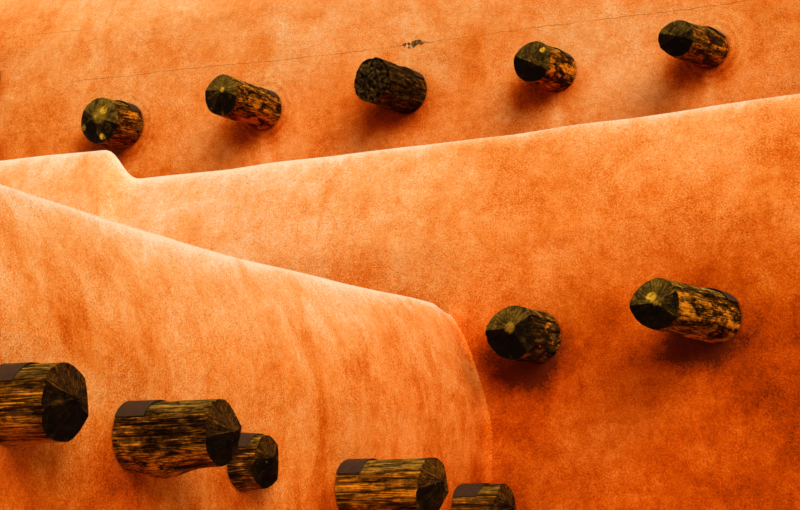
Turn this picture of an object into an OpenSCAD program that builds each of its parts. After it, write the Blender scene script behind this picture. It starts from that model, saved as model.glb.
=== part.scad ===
// Stepped adobe house: a low wing, a hall and a tall rear block, each with hollow
// mud walls, rounded parapets, a flat roof on round log beams (vigas) and one doorway.
// Plan values are measured from the inner corner where the low wing meets the hall:
// x grows to the east and y to the north.

/* [Low wing] */
// North-south length of the low wing in front of the hall
low_length = 5000; // [4900:50:5200]
// East-west width of the low wing
low_width = 3600; // [3400:50:3900]
// Height of the low wing's parapet crest
low_crest = 3565; // [3500:5:3700]
// Extra crest height at the wing's south end
low_crest_rise = 65; // [0:5:90]

/* [Hall] */
// How far the hall reaches west of the inner corner
hall_west = 4300; // [4200:50:4600]
// How far the hall reaches east of the inner corner
hall_east = 2200; // [2100:50:2350]
// Depth of the hall from its south face to the rear block
hall_depth = 3200; // [3100:50:3400]
// Height of the hall's parapet crest
hall_crest = 4460; // [4400:5:4550]
// Height by which the west part of the hall's parapet is stepped up
hall_step = 195; // [120:5:240]
// Distance of the parapet's step from the inner corner
hall_step_west = 2390; // [2300:10:2600]
// Width over which the step rises
hall_step_run = 270; // [200:10:400]

/* [Rear block] */
// How far the rear block reaches west of the inner corner
rear_west = 7000; // [6900:50:7300]
// How far the rear block reaches east of the inner corner
rear_east = 2600; // [2550:50:2900]
// Depth of the rear block
rear_depth = 3900; // [3800:50:4200]
// Height of the rear block's parapet crest
rear_crest = 6980; // [6900:10:7200]

/* [Walls] */
// Thickness of the mud walls
wall_t = 430; // [400:10:460]
// Height over which a parapet's shoulder rounds off
shoulder_h = 580; // [450:10:600]
// Exponent of the shoulder's curve, 1 is a plain slope and 2 an ellipse
shoulder_n = 1.25; // [1.2:0.05:2]
// Radius of the rounded outer corners
corner_r = 300; // [200:10:340]
// Radius of the small coves in the rooms' corners
cove_r = 80; // [60:5:100]
// How far the wall's foot flares out at the ground
foot_flare = 55; // [30:5:70]
// Height over which the foot flares
foot_h = 1200; // [800:50:1400]

/* [Doorways] */
// Clear width of a doorway
door_w = 920; // [850:10:1000]
// Height of a doorway under its lintel
door_h = 2020; // [1950:10:2060]
// Height of a lintel beam
lintel_h = 160; // [140:5:180]
// Length of wall that carries each end of a lintel
lintel_bearing = 190; // [150:10:220]
// How far a lintel's front stands proud of the wall
lintel_proud = 20; // [0:5:30]

/* [Roofs] */
// Thickness of the low wing's and the hall's boarded and earthed roof
roof_t = 190; // [150:10:220]
// Thickness of the rear roof, whose deeper earth rises to its spout
rear_roof_t = 380; // [350:10:390]
// Depth by which the roof is bedded over the log tops
roof_bed = 14; // [8:1:20]

/* [Vigas] */
// Length of the axe-cut point on a log's end
point_l = 70; // [50:5:90]
// Number of axe cuts that form the point
point_cuts = 7; // [5:1:8]
// Depth of the blind pockets that hold the hall logs' north ends
pocket = 220; // [150:10:250]

/* [Sheet metal and spout] */
// Thickness of the sheet saddles over the logs
sheet_t = 4; // [3:1:6]
// How far a saddle covers its log from the wall
saddle_reach = 130; // [80:10:150]
// Diameter of the log that the roof spout is hollowed from
spout_d = 230; // [200:10:260]
// Diameter of the spout's channel
spout_bore = 160; // [140:5:170]
// How far the spout stands out from the wall
spout_reach = 420; // [300:10:600]

/* [Hidden] */
$fn = 64;

// Facets of a rounded corner, of a crown's half and stations of a straight wall
CORNER_STEPS = 5;
CROWN_STEPS = 5;
BAY = 900;

// Largest uneven shift of an axe cut round a point, as a share of one cut
CUT_SHIFT = 0.18;

// The part's origin is the middle of its footprint on the ground
ORIGIN = [-2200, 1300];

// One log is [place along its row, height of its centre, diameter at the seen end,
// diameter at the far end, reach of the seen end, reach of the far end]
LOW_VIGAS = [
    [-4220, 2850, 270, 250, 240, 300],
    [-3574, 2802, 270, 240, 265, 380],
    [-2857, 2739, 248, 245, 417, 300],
    [-2140, 2678, 220, 250, 125, 420],
    [-1324, 2602, 252, 240, 426, 280],
    [-258, 2541, 250, 236, 212, 360]];
HALL_VIGAS = [
    [-3440, 3400, 250, 240, 300, 0],
    [-2510, 3395, 256, 240, 240, 0],
    [-1580, 3390, 246, 240, 340, 0],
    [-650, 3385, 252, 240, 260, 0],
    [276, 3387, 256, 240, 298, 0],
    [1211, 3425, 236, 240, 748, 0]];
REAR_VIGAS = [
    [-6170, 5640, 280, 260, 420, 300],
    [-4765, 5637, 345, 280, 300, 420],
    [-3485, 5611, 287, 270, 546, 340],
    [-2289, 5602, 303, 270, 491, 480],
    [-1123, 5601, 275, 280, 362, 360],
    [-26, 5610, 242, 270, 569, 420],
    [1150, 5600, 268, 260, 400, 320]];

// Angle at which each hall log's axe cuts begin
HALL_TURNS = [29, 64, 99, 142, 169, 199];

// Hall log that has no saddle
BARE_LOG = 5;

// Faces of the three blocks, in plan
LOW_S = -low_length;
LOW_W = -low_width;
HALL_N = hall_depth;
REAR_N = hall_depth + rear_depth;

// Doorways: the middle of each opening along its wall
LOW_DOOR_X = -1750;
HALL_DOOR_Y = 1750;
REAR_DOOR_Y = 5150;
DOOR_HALF = door_w / 2;
HEAD_Z = door_h + lintel_h;

// Smooth 0 to 1 ramp of t
function ramp(t) = let(c = min(1, max(0, t))) c * c * (3 - 2 * c);

// Height of each block's crest over a point of the plan
low_top = function(x, y) low_crest + low_crest_rise * ramp((-1700 - y) / 2400);
hall_top = function(x, y) hall_crest + 6 * sin(x * 0.13)
    + hall_step * ramp((-hall_step_west - x) / hall_step_run + 0.5);
rear_top = function(x, y) rear_crest + 12 * sin(x * 0.09 + 40);

// Share of the foot's flare over a point of the plan: it fades where the next block
// stands against a wall's face
FADE = 300;
low_foot = function(x, y) 1;
hall_foot = function(x, y) min(1, ramp((x - foot_flare) / FADE)
    + ramp((LOW_W - foot_flare - x) / FADE));
rear_foot = function(x, y) y > HALL_N + corner_r ? 1
    : min(1, ramp((x - hall_east - foot_flare) / FADE)
        + ramp((-hall_west - foot_flare - x) / FADE));

// A station is one slice of a wall: [outer x, outer y, inner x, inner y].
// Slices of a straight stretch, whose outer face has the normal n
function straight(a, b, n) =
    let(count = max(1, ceil(norm(b - a) / BAY)))
    [for (k = [0:count])
        let(p = a + (b - a) * k / count, q = p - n * wall_t) [p.x, p.y, q.x, q.y]];

// Slices fanned about a building's corner, from angle a0 to a1: an outer arc of
// corner_r and a cove of cove_r in the room, each about its own centre
function corner(c, sx, sy, a0, a1) =
    [for (k = [0:CORNER_STEPS])
        let(a = a0 + (a1 - a0) * k / CORNER_STEPS,
            m = c - [sx, sy] * corner_r,
            r = c - [sx, sy] * (wall_t + cove_r))
        [m.x + corner_r * cos(a), m.y + corner_r * sin(a),
         r.x + cove_r * cos(a), r.y + cove_r * sin(a)]];

// Height of a crown's slice below the crest, as a superellipse of the angle
function crown_v(a) = 0.5 * (1 - pow(abs(cos(a)), 2 / shoulder_n) * (cos(a) < 0 ? -1 : 1));
function crown_drop(a) = shoulder_h * (1 - pow(abs(sin(a)), 2 / shoulder_n));

// One closed slice of wall from height z0 up to the crest, as points in space
function slice(s, top, flare, z0) =
    let(o = [s[0], s[1]], i = [s[2], s[3]], w = norm(i - o), e = (i - o) / w,
        foot = z0 > 0 ? [[0, z0]]
            : [for (k = [0:3]) [-flare * pow(1 - k / 3, 2) / w, foot_h * k / 3]],
        crown = [for (k = [0:2 * CROWN_STEPS])
            let(a = 90 * k / CROWN_STEPS) [crown_v(a), top - crown_drop(a)]],
        loop = concat([[1, z0]], foot, crown))
    [for (p = loop) [o.x + e.x * p[0] * w, o.y + e.y * p[0] * w, p[1]]];

// Wall solid swept through a run of stations
module wall_run(run, top, foot, z0 = 0) {
    slices = [for (s = run) slice(s, top(s[0], s[1]), foot_flare * foot(s[0], s[1]), z0)];
    m = len(slices[0]);
    n = len(slices);
    points = [for (s = slices) each s];
    sides = [for (i = [0:n - 2], j = [0:m - 1])
        let(a = i * m + j, b = i * m + (j + 1) % m, c = b + m, d = a + m)
        each [[a, b, c], [a, c, d]]];
    caps = [[for (j = [0:m - 1]) (m - j) % m], [for (j = [0:m - 1]) (n - 1) * m + j]];
    polyhedron(points = points, faces = concat(sides, caps));
}

// Round core of a log along +x between its shoulders x0 and x1, with room for its
// points; a sawn start has none. Sockets are cut by the same core.
module log_core(x0, x1, d0, d1, sawn) {
    start = sawn ? x0 : x0 - point_l;
    translate([start, 0, 0])
        rotate([0, 90, 0])
            cylinder(h = x1 + point_l - start, d1 = d0, d2 = d1);
}

// Full-length log with an axe-cut point at each end that isn't sawn
module log_x(x0, x1, d0, d1, turn, sawn = false) {
    r_out = max(d0, d1) / 2 / cos(180 / point_cuts * (1 + 2 * CUT_SHIFT)) + 10;
    lift = point_l * r_out / (max(d0, d1) / 2);
    intersection() {
        log_core(x0, x1, d0, d1, sawn);
        axe_bar(sawn ? x0 - 100 : x0, x1, r_out, lift, turn);
    }
}

// Bar of point_cuts sides with a low, off-centre pyramid at each end
module axe_bar(x0, x1, r, lift, turn) {
    n = point_cuts;
    skew = lift - point_l;
    points = concat(
        [for (k = [0:n - 1]) let(a = turn + 360 * (k + CUT_SHIFT * sin(131 * k)) / n)
            [x0 + skew, r * cos(a), r * sin(a)]],
        [for (k = [0:n - 1]) let(a = turn + 360 * (k + CUT_SHIFT * sin(131 * k)) / n)
            [x1 - skew, r * cos(a), r * sin(a)]],
        [[x0 - point_l, 12 * cos(turn), 12 * sin(turn)],
         [x1 + point_l, 16 * sin(turn * 3), 14 * cos(turn * 2)]]);
    faces = concat(
        [for (k = [0:n - 1]) [k, (k + 1) % n, n + (k + 1) % n]],
        [for (k = [0:n - 1]) [k, n + (k + 1) % n, n + k]],
        [for (k = [0:n - 1]) [(k + 1) % n, k, 2 * n]],
        [for (k = [0:n - 1]) [n + k, n + (k + 1) % n, 2 * n + 1]]);
    polyhedron(points = points, faces = faces);
}

// Sheet saddle over a log from the wall's face at x = wall outwards. It follows the
// log's own taper and reaches down to half of the log's radius above its axis.
module saddle(x0, x1, d0, d1, sawn, wall) {
    intersection() {
        difference() {
            log_core(x0, x1, d0 + 2 * sheet_t, d1 + 2 * sheet_t, sawn);
            log_core(x0, x1, d0, d1, sawn);
        }
        translate([wall, -d1, d1 / 4]) cube([saddle_reach, 2 * d1, d1]);
    }
}

// One log of each row in place: whole, as the plain core that cuts its sockets, or as
// the saddle over it
module low_log(i, part = "log") {
    v = LOW_VIGAS[i];
    x0 = LOW_W - v[5];
    translate([0, v[0], v[1]]) {
        if (part == "core") log_core(x0, v[4], v[3], v[2], false);
        if (part == "saddle") saddle(x0, v[4], v[3], v[2], false, 0);
        if (part == "log") log_x(x0, v[4], v[3], v[2], 17 + 40 * i);
    }
}

module hall_log(i, part = "log") {
    v = HALL_VIGAS[i];
    length = HALL_N + pocket + v[4];
    translate([v[0], HALL_N + pocket, v[1]]) rotate([0, 0, -90]) {
        if (part == "core") log_core(0, length, v[3], v[2], true);
        if (part == "saddle") saddle(0, length, v[3], v[2], true, HALL_N + pocket);
        if (part == "log") log_x(0, length, v[3], v[2], HALL_TURNS[i], true);
    }
}

module rear_log(i, part = "log") {
    v = REAR_VIGAS[i];
    length = rear_depth + v[4];
    translate([v[0], REAR_N, v[1]]) rotate([0, 0, -90]) {
        if (part == "core") log_core(-v[5], length, v[3], v[2], false);
        if (part == "saddle") saddle(-v[5], length, v[3], v[2], false, rear_depth);
        if (part == "log") log_x(-v[5], length, v[3], v[2], 8 + 55 * i);
    }
}

// Plain cores of a whole row
module low_cores() {
    for (i = [0:len(LOW_VIGAS) - 1]) low_log(i, "core");
}

module hall_cores() {
    for (i = [0:len(HALL_VIGAS) - 1]) hall_log(i, "core");
}

module rear_cores() {
    for (i = [0:len(REAR_VIGAS) - 1]) rear_log(i, "core");
}

// Roof spout at the rear block's west end: a hollowed log whose channel opens upwards.
// Its socket in the wall is cut by the same log before it is hollowed.
SPOUT = [-6145, 6220];
SPOUT_RIM = 45;
SPOUT_INSIDE = 60;
CHANNEL_LIFT = 20;

module spout_log() {
    length = spout_reach + wall_t + SPOUT_INSIDE;
    translate([SPOUT.x, HALL_N + wall_t + SPOUT_INSIDE, SPOUT.y]) rotate([90, 0, 0])
        difference() {
            cylinder(h = length, d = spout_d);
            translate([-spout_d, SPOUT_RIM, -1]) cube([2 * spout_d, spout_d, length + 2]);
        }
}

module roof_spout() color([0.4, 0.26, 0.11]) difference() {
    spout_log();
    translate([SPOUT.x, REAR_N, SPOUT.y + CHANNEL_LIFT]) rotate([90, 0, 0])
        cylinder(h = REAR_N, d = spout_bore);
}

// Beams over the doorways
module low_beam() {
    length = door_w + 2 * lintel_bearing;
    translate([LOW_DOOR_X - length / 2, LOW_S - lintel_proud, door_h])
        cube([length, wall_t + lintel_proud, lintel_h]);
}

module hall_beam() {
    length = door_w + 2 * lintel_bearing;
    translate([hall_east - wall_t, HALL_DOOR_Y - length / 2, door_h])
        cube([wall_t + lintel_proud, length, lintel_h]);
}

module rear_beam() {
    length = door_w + 2 * lintel_bearing;
    translate([rear_east - wall_t, REAR_DOOR_Y - length / 2, door_h])
        cube([wall_t + lintel_proud, length, lintel_h]);
}

// Stations of each block's corners
LOW_SE = corner([0, LOW_S], 1, -1, -90, 0);
LOW_SW = corner([LOW_W, LOW_S], -1, -1, 180, 270);
HALL_SE = corner([hall_east, 0], 1, -1, -90, 0);
HALL_SW = corner([-hall_west, 0], -1, -1, 180, 270);
REAR_SE = corner([rear_east, HALL_N], 1, -1, -90, 0);
REAR_SW = corner([-rear_west, HALL_N], -1, -1, 180, 270);
REAR_NE = corner([rear_east, REAR_N], 1, 1, 0, 90);
REAR_NW = corner([-rear_west, REAR_N], -1, 1, 90, 180);
TURN = wall_t + cove_r + 120;

// Inner outline of a run of stations
function inner(run) = [for (s = run) [s[2], s[3]]];

// Low wing
module low_east_wall() color([0.93, 0.5, 0.24]) difference() {
    wall_run(straight([0, LOW_S + TURN], [0, 0], [1, 0]), low_top, low_foot);
    low_cores();
}

module low_west_wall() color([0.93, 0.5, 0.24]) difference() {
    wall_run(straight([LOW_W, 0], [LOW_W, LOW_S + TURN], [-1, 0]), low_top, low_foot);
    low_cores();
}

module low_south_wall_west() color([0.91, 0.48, 0.22]) difference() {
    wall_run(concat(
        straight([LOW_W, LOW_S + TURN], [LOW_W, LOW_S + TURN - 60], [-1, 0]),
        LOW_SW,
        straight([LOW_W + TURN, LOW_S], [LOW_DOOR_X - DOOR_HALF, LOW_S], [0, -1])), low_top, low_foot);
    low_beam();
    low_cores();
}

module low_south_wall_east() color([0.91, 0.48, 0.22]) difference() {
    wall_run(concat(
        straight([LOW_DOOR_X + DOOR_HALF, LOW_S], [-TURN, LOW_S], [0, -1]),
        LOW_SE,
        straight([0, LOW_S + TURN - 60], [0, LOW_S + TURN], [1, 0])), low_top, low_foot);
    low_beam();
    low_cores();
}

module low_wall_over_door() color([0.89, 0.47, 0.22])
    wall_run(straight([LOW_DOOR_X - DOOR_HALF, LOW_S], [LOW_DOOR_X + DOOR_HALF, LOW_S],
        [0, -1]), low_top, low_foot, HEAD_Z);

module low_lintel() color([0.36, 0.22, 0.1]) low_beam();

// Underside of the low roof: it falls with the logs towards the inner corner
LOW_ROOF_FALL = 0.08;
LOW_ROOF_Z = 2630;

module low_roof() color([0.72, 0.47, 0.3]) difference() {
    intersection() {
        linear_extrude(5000)
            polygon(concat([[-wall_t, 0]], [[LOW_W + wall_t, 0]], inner(LOW_SW), inner(LOW_SE)));
        translate([LOW_W, 0, LOW_ROOF_Z - roof_bed])
            rotate([atan(-LOW_ROOF_FALL), 0, 0])
                translate([0, -2 * low_length, 0])
                    cube([low_width, 3 * low_length, roof_t]);
    }
    low_cores();
}

// Hall
module hall_south_wall() color([0.94, 0.52, 0.26]) difference() {
    wall_run(concat(
        straight([TURN - hall_west, 0], [-hall_step_west - hall_step_run, 0], [0, -1]),
        [for (k = [-2:1:2]) let(x = -hall_step_west + k * hall_step_run / 5)
            [x, 0, x, wall_t]],
        straight([-hall_step_west + hall_step_run, 0], [hall_east - TURN, 0], [0, -1])), hall_top, hall_foot);
    hall_cores();
}

module hall_west_wall() color([0.92, 0.5, 0.24]) difference() {
    wall_run(concat(
        straight([-hall_west, HALL_N], [-hall_west, TURN], [-1, 0]),
        HALL_SW,
        straight([TURN - hall_west - 60, 0], [TURN - hall_west, 0], [0, -1])), hall_top, hall_foot);
    hall_cores();
}

module hall_east_wall_south() color([0.92, 0.5, 0.24]) difference() {
    wall_run(concat(
        straight([hall_east - TURN, 0], [hall_east - TURN + 60, 0], [0, -1]),
        HALL_SE,
        straight([hall_east, TURN], [hall_east, HALL_DOOR_Y - DOOR_HALF], [1, 0])), hall_top, hall_foot);
    hall_beam();
    hall_cores();
}

module hall_east_wall_north() color([0.92, 0.5, 0.24]) difference() {
    wall_run(straight([hall_east, HALL_DOOR_Y + DOOR_HALF], [hall_east, HALL_N], [1, 0]), hall_top, hall_foot);
    hall_beam();
}

module hall_wall_over_door() color([0.9, 0.48, 0.23])
    wall_run(straight([hall_east, HALL_DOOR_Y - DOOR_HALF], [hall_east, HALL_DOOR_Y + DOOR_HALF],
        [1, 0]), hall_top, hall_foot, HEAD_Z);

module hall_lintel() color([0.36, 0.22, 0.1]) hall_beam();

HALL_ROOF_Z = 3508;

module hall_roof() color([0.72, 0.47, 0.3]) difference() {
    translate([0, 0, HALL_ROOF_Z - roof_bed])
        linear_extrude(roof_t)
            polygon(concat([[hall_east - wall_t, HALL_N]], [[wall_t - hall_west, HALL_N]],
                inner(HALL_SW), inner(HALL_SE)));
    hall_cores();
}

// Rear block
module rear_south_wall() color([0.9, 0.49, 0.25]) difference() {
    wall_run(straight([TURN - rear_west, HALL_N], [rear_east - TURN, HALL_N], [0, -1]), rear_top, rear_foot);
    rear_cores();
    hall_cores();
    spout_log();
}

module rear_west_wall() color([0.89, 0.48, 0.24]) difference() {
    wall_run(concat(
        straight([TURN - rear_west, REAR_N], [TURN - rear_west - 60, REAR_N], [0, 1]),
        REAR_NW,
        straight([-rear_west, REAR_N - TURN], [-rear_west, HALL_N + TURN], [-1, 0]),
        REAR_SW,
        straight([TURN - rear_west - 60, HALL_N], [TURN - rear_west, HALL_N], [0, -1])), rear_top, rear_foot);
    rear_cores();
}

module rear_north_wall() color([0.89, 0.48, 0.24]) difference() {
    wall_run(straight([rear_east - TURN, REAR_N], [TURN - rear_west, REAR_N], [0, 1]), rear_top, rear_foot);
    rear_cores();
}

module rear_east_wall_south() color([0.89, 0.48, 0.24]) difference() {
    wall_run(concat(
        straight([rear_east - TURN, HALL_N], [rear_east - TURN + 60, HALL_N], [0, -1]),
        REAR_SE,
        straight([rear_east, HALL_N + TURN], [rear_east, REAR_DOOR_Y - DOOR_HALF], [1, 0])), rear_top, rear_foot);
    rear_beam();
}

module rear_east_wall_north() color([0.89, 0.48, 0.24]) difference() {
    wall_run(concat(
        straight([rear_east, REAR_DOOR_Y + DOOR_HALF], [rear_east, REAR_N - TURN], [1, 0]),
        REAR_NE,
        straight([rear_east - TURN + 60, REAR_N], [rear_east - TURN, REAR_N], [0, 1])), rear_top, rear_foot);
    rear_beam();
}

module rear_wall_over_door() color([0.88, 0.47, 0.23])
    wall_run(straight([rear_east, REAR_DOOR_Y - DOOR_HALF], [rear_east, REAR_DOOR_Y + DOOR_HALF],
        [1, 0]), rear_top, rear_foot, HEAD_Z);

module rear_lintel() color([0.36, 0.22, 0.1]) rear_beam();

REAR_ROOF_Z = 5738;

module rear_roof() color([0.72, 0.47, 0.3]) difference() {
    translate([0, 0, REAR_ROOF_Z - roof_bed])
        linear_extrude(rear_roof_t)
            polygon(concat(inner(REAR_SW), inner(REAR_SE), inner(REAR_NE), inner(REAR_NW)));
    rear_cores();
}

// Saddles of each row
module low_flashings() color([0.3, 0.24, 0.2])
    for (i = [0:len(LOW_VIGAS) - 1]) low_log(i, "saddle");

module hall_flashings() color([0.3, 0.24, 0.2])
    for (i = [0:len(HALL_VIGAS) - 1]) if (i != BARE_LOG - 1) hall_log(i, "saddle");

module rear_flashings() color([0.3, 0.24, 0.2])
    for (i = [0:len(REAR_VIGAS) - 1]) rear_log(i, "saddle");

// One viga by its number in its row
module low_viga(i) color([0.42, 0.27, 0.1]) low_log(i - 1);

module hall_viga(i) color([0.42, 0.27, 0.1]) hall_log(i - 1);

module rear_viga(i) color([0.42, 0.27, 0.1]) rear_log(i - 1);

translate([-ORIGIN.x, -ORIGIN.y, 0]) {
    low_east_wall();
    low_west_wall();
    low_south_wall_west();
    low_south_wall_east();
    low_wall_over_door();
    low_lintel();
    low_roof();
    hall_south_wall();
    hall_west_wall();
    hall_east_wall_south();
    hall_east_wall_north();
    hall_wall_over_door();
    hall_lintel();
    hall_roof();
    rear_south_wall();
    rear_west_wall();
    rear_north_wall();
    rear_east_wall_south();
    rear_east_wall_north();
    rear_wall_over_door();
    rear_lintel();
    rear_roof();
    roof_spout();
    low_flashings();
    hall_flashings();
    rear_flashings();
    for (i = [1:len(LOW_VIGAS)])
        low_viga(i);
    for (i = [1:len(HALL_VIGAS)])
        hall_viga(i);
    for (i = [1:len(REAR_VIGAS)])
        rear_viga(i);
}
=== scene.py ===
"""Looks of a stepped adobe house: mud plaster skins, axe-cut roof logs, flashings, lintels and roofs.

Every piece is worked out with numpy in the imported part's own frame, in metres.
"""

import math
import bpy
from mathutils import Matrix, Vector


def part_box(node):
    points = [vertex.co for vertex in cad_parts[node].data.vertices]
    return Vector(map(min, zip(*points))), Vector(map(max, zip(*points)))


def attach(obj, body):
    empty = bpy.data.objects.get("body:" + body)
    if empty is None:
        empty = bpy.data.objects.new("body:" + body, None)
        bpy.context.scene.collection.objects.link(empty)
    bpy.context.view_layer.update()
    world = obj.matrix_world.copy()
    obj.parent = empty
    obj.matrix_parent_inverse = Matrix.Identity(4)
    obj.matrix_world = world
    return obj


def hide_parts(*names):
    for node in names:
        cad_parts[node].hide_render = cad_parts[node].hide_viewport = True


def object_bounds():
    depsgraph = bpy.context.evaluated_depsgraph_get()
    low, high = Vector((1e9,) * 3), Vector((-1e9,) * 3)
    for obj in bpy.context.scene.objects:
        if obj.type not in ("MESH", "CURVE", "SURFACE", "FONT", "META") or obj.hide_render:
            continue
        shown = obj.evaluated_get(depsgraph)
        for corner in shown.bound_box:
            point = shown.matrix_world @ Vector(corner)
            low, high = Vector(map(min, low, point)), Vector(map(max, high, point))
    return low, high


bl_info = {
    "name": "Adobe house finish",
    "version": (1, 0, 0),
    "blender": (4, 5, 0),
    "location": "View3D > Sidebar > Adobe house",
    "description": "Plaster skins, roof logs, lintels and roofs of a stepped adobe house",
    "category": "Object",
}

from dataclasses import dataclass
from functools import partial

import bpy
import numpy as np
from mathutils import Vector

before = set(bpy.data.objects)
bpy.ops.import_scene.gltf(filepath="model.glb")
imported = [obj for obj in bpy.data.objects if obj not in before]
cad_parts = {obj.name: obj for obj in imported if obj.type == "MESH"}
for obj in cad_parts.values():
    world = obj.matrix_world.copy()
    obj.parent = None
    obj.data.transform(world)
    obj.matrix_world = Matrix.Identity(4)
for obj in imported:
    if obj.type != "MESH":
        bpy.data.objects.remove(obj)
CAD_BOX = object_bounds()
CAD_LOW = np.array(CAD_BOX[0])
CAD_HIGH = np.array(CAD_BOX[1])

# Sizes shared with the solids, in metres
WALL = 0.43
FOOT_FLARE = 0.055
FOOT_HEIGHT = 1.2
SHOULDER = 0.58
SHOULDER_POWER = 1.25
CORNER_RADIUS = 0.3
COVE_RADIUS = 0.08
TURN = WALL + COVE_RADIUS + 0.12
DOOR_WIDTH = 0.92
DOOR_HEIGHT = 2.02
LINTEL_HEIGHT = 0.16
LINTEL_BEARING = 0.19
POINT = 0.07
SAW_SLACK = 1.03
ROOF_BEARING = 0.025
LOW_ROOF_FALL = 0.08
SPOUT_RADIUS = 0.115
SPOUT_CENTRE = 6.22
SPOUT_RIM = 0.045
CHANNEL_RADIUS = 0.08
CHANNEL_LIFT = 0.02


def node_low(node):
    """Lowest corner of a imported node's box."""
    return np.array(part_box(node)[0])


def node_high(node):
    """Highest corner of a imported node's box."""
    return np.array(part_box(node)[1])


def node_middle(node):
    """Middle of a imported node's box."""
    return (node_low(node) + node_high(node)) / 2.0


# Faces of the three blocks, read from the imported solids
LOW_EAST = node_high("low_east_wall")[0] - FOOT_FLARE
LOW_NORTH = node_high("low_east_wall")[1]
LOW_WEST = node_low("low_west_wall")[0] + FOOT_FLARE
LOW_SOUTH = node_low("low_south_wall_west")[1] + FOOT_FLARE
HALL_EAST = node_high("hall_east_wall_north")[0] - FOOT_FLARE
HALL_WEST = node_low("hall_west_wall")[0] + FOOT_FLARE
HALL_SOUTH = LOW_NORTH
HALL_NORTH = node_high("hall_east_wall_north")[1]
REAR_EAST = node_high("rear_east_wall_north")[0] - FOOT_FLARE
REAR_WEST = node_low("rear_west_wall")[0] + FOOT_FLARE
REAR_SOUTH = HALL_NORTH
REAR_NORTH = node_high("rear_north_wall")[1] - FOOT_FLARE

# Hole of the roof spout in the rear wall as half width, foot and head, hidden in the spout's wood
SPOUT_HOLE = (0.087, 6.15, 6.262)

# Crest heights
LOW_CREST = 3.572
LOW_CREST_RISE = 0.07
CORNER_SLUMP = 0.035
HALL_CREST = 4.46
HALL_STEP = 0.195
HALL_STEP_FROM_CORNER = 2.47
HALL_STEP_RUN = 0.34
REAR_CREST = 6.98

EAST = np.array([1.0, 0.0])
NORTH = np.array([0.0, 1.0])
# Distance that stands for "nowhere near" in the wall's own attributes
FAR_OFF = 9.0


# Numbers that follow a rule


def joined(*parts):
    """Arrays of one shape as the parts of one array of vectors."""
    return np.stack(parts, axis=-1)


def ramp(t):
    """Smooth 0 to 1 step of t: 3t squared less 2t cubed between 0 and 1."""
    c = np.clip(t, 0.0, 1.0)
    return c * c * (3.0 - 2.0 * c)


def lattice(cell, seed):
    """Repeatable value from 0 to 1 at whole-number lattice points: the three indices hashed together."""
    c = cell.astype(np.int64).astype(np.uint32)
    h = c[..., 0] * np.uint32(374761393) + c[..., 1] * np.uint32(668265263)
    h = h + c[..., 2] * np.uint32(2246822519) + np.uint32(seed * 3266489917 % 4294967296)
    h = (h ^ (h >> np.uint32(13))) * np.uint32(1274126177)
    h = (h ^ (h >> np.uint32(16))) * np.uint32(2654435761)
    h = h ^ (h >> np.uint32(15))
    return h.astype(np.float64) / 4294967295.0


def noise(points, size, seed=0):
    """Smooth noise from -1 to 1: lattice values at the corners of cells of the given size, blended
    with the same smooth step along each axis."""
    q = np.asarray(points, float) / np.asarray(size, float)
    cell = np.floor(q)
    f = ramp(q - cell)
    total = np.zeros(q.shape[:-1])
    for corner in range(8):
        step = np.array([corner & 1, corner >> 1 & 1, corner >> 2 & 1])
        weight = np.prod(np.where(step, f, 1.0 - f), axis=-1)
        total += weight * lattice(cell + step, seed)
    return 2.0 * total - 1.0


def spread(lo, hi, step, fine=()):
    """Even values from lo to hi with the fine values put in, less the even ones that crowd them."""
    even = np.linspace(lo, hi, max(2, int(round((hi - lo) / step)) + 1))
    chosen = np.array(sorted(v for v in fine if lo + 1e-4 < v < hi - 1e-4))
    if len(chosen) == 0:
        return even
    gap = np.abs(even[:, None] - chosen[None, :]).min(axis=1)
    keep = gap > 0.35 * step
    keep[[0, -1]] = True
    return np.unique(np.concatenate([even[keep], chosen]))


def linear(red, green, blue):
    """Linear colour of a plain 0 to 255 screen colour."""
    c = np.array([red, green, blue]) / 255.0
    c = np.where(c <= 0.04045, c / 12.92, ((c + 0.055) / 1.055) ** 2.4)
    return (float(c[0]), float(c[1]), float(c[2]), 1.0)


# Meshes


def grid_quads(rows, cols, wrap_cols=False):
    """Corner numbers of the quads of a rows by cols grid, numbered row by row."""
    r = np.arange(rows - 1)[:, None]
    c = np.arange(cols if wrap_cols else cols - 1)[None, :]
    n = (c + 1) % cols
    quads = joined(r * cols + c, (r + 1) * cols + c, (r + 1) * cols + n, r * cols + n)
    return quads.reshape(-1, 4)


def tube_faces(rows, cols):
    """Faces of a closed tube: its side as a grid and one many-sided face at each end."""
    ring = np.arange(cols)
    return [grid_quads(rows, cols, wrap_cols=True), ring[None, ::-1], ((rows - 1) * cols + ring)[None, :]]


def signed_volume(points, polygons):
    """Six times the volume that the faces enclose, positive where they point outwards."""
    total = 0.0
    for faces in polygons:
        for k in range(1, faces.shape[1] - 1):
            a = points[faces[:, 0]]
            b = points[faces[:, k]]
            c = points[faces[:, k + 1]]
            total += float(np.einsum("ij,ij->", a, np.cross(b, c)))
    return total


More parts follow.
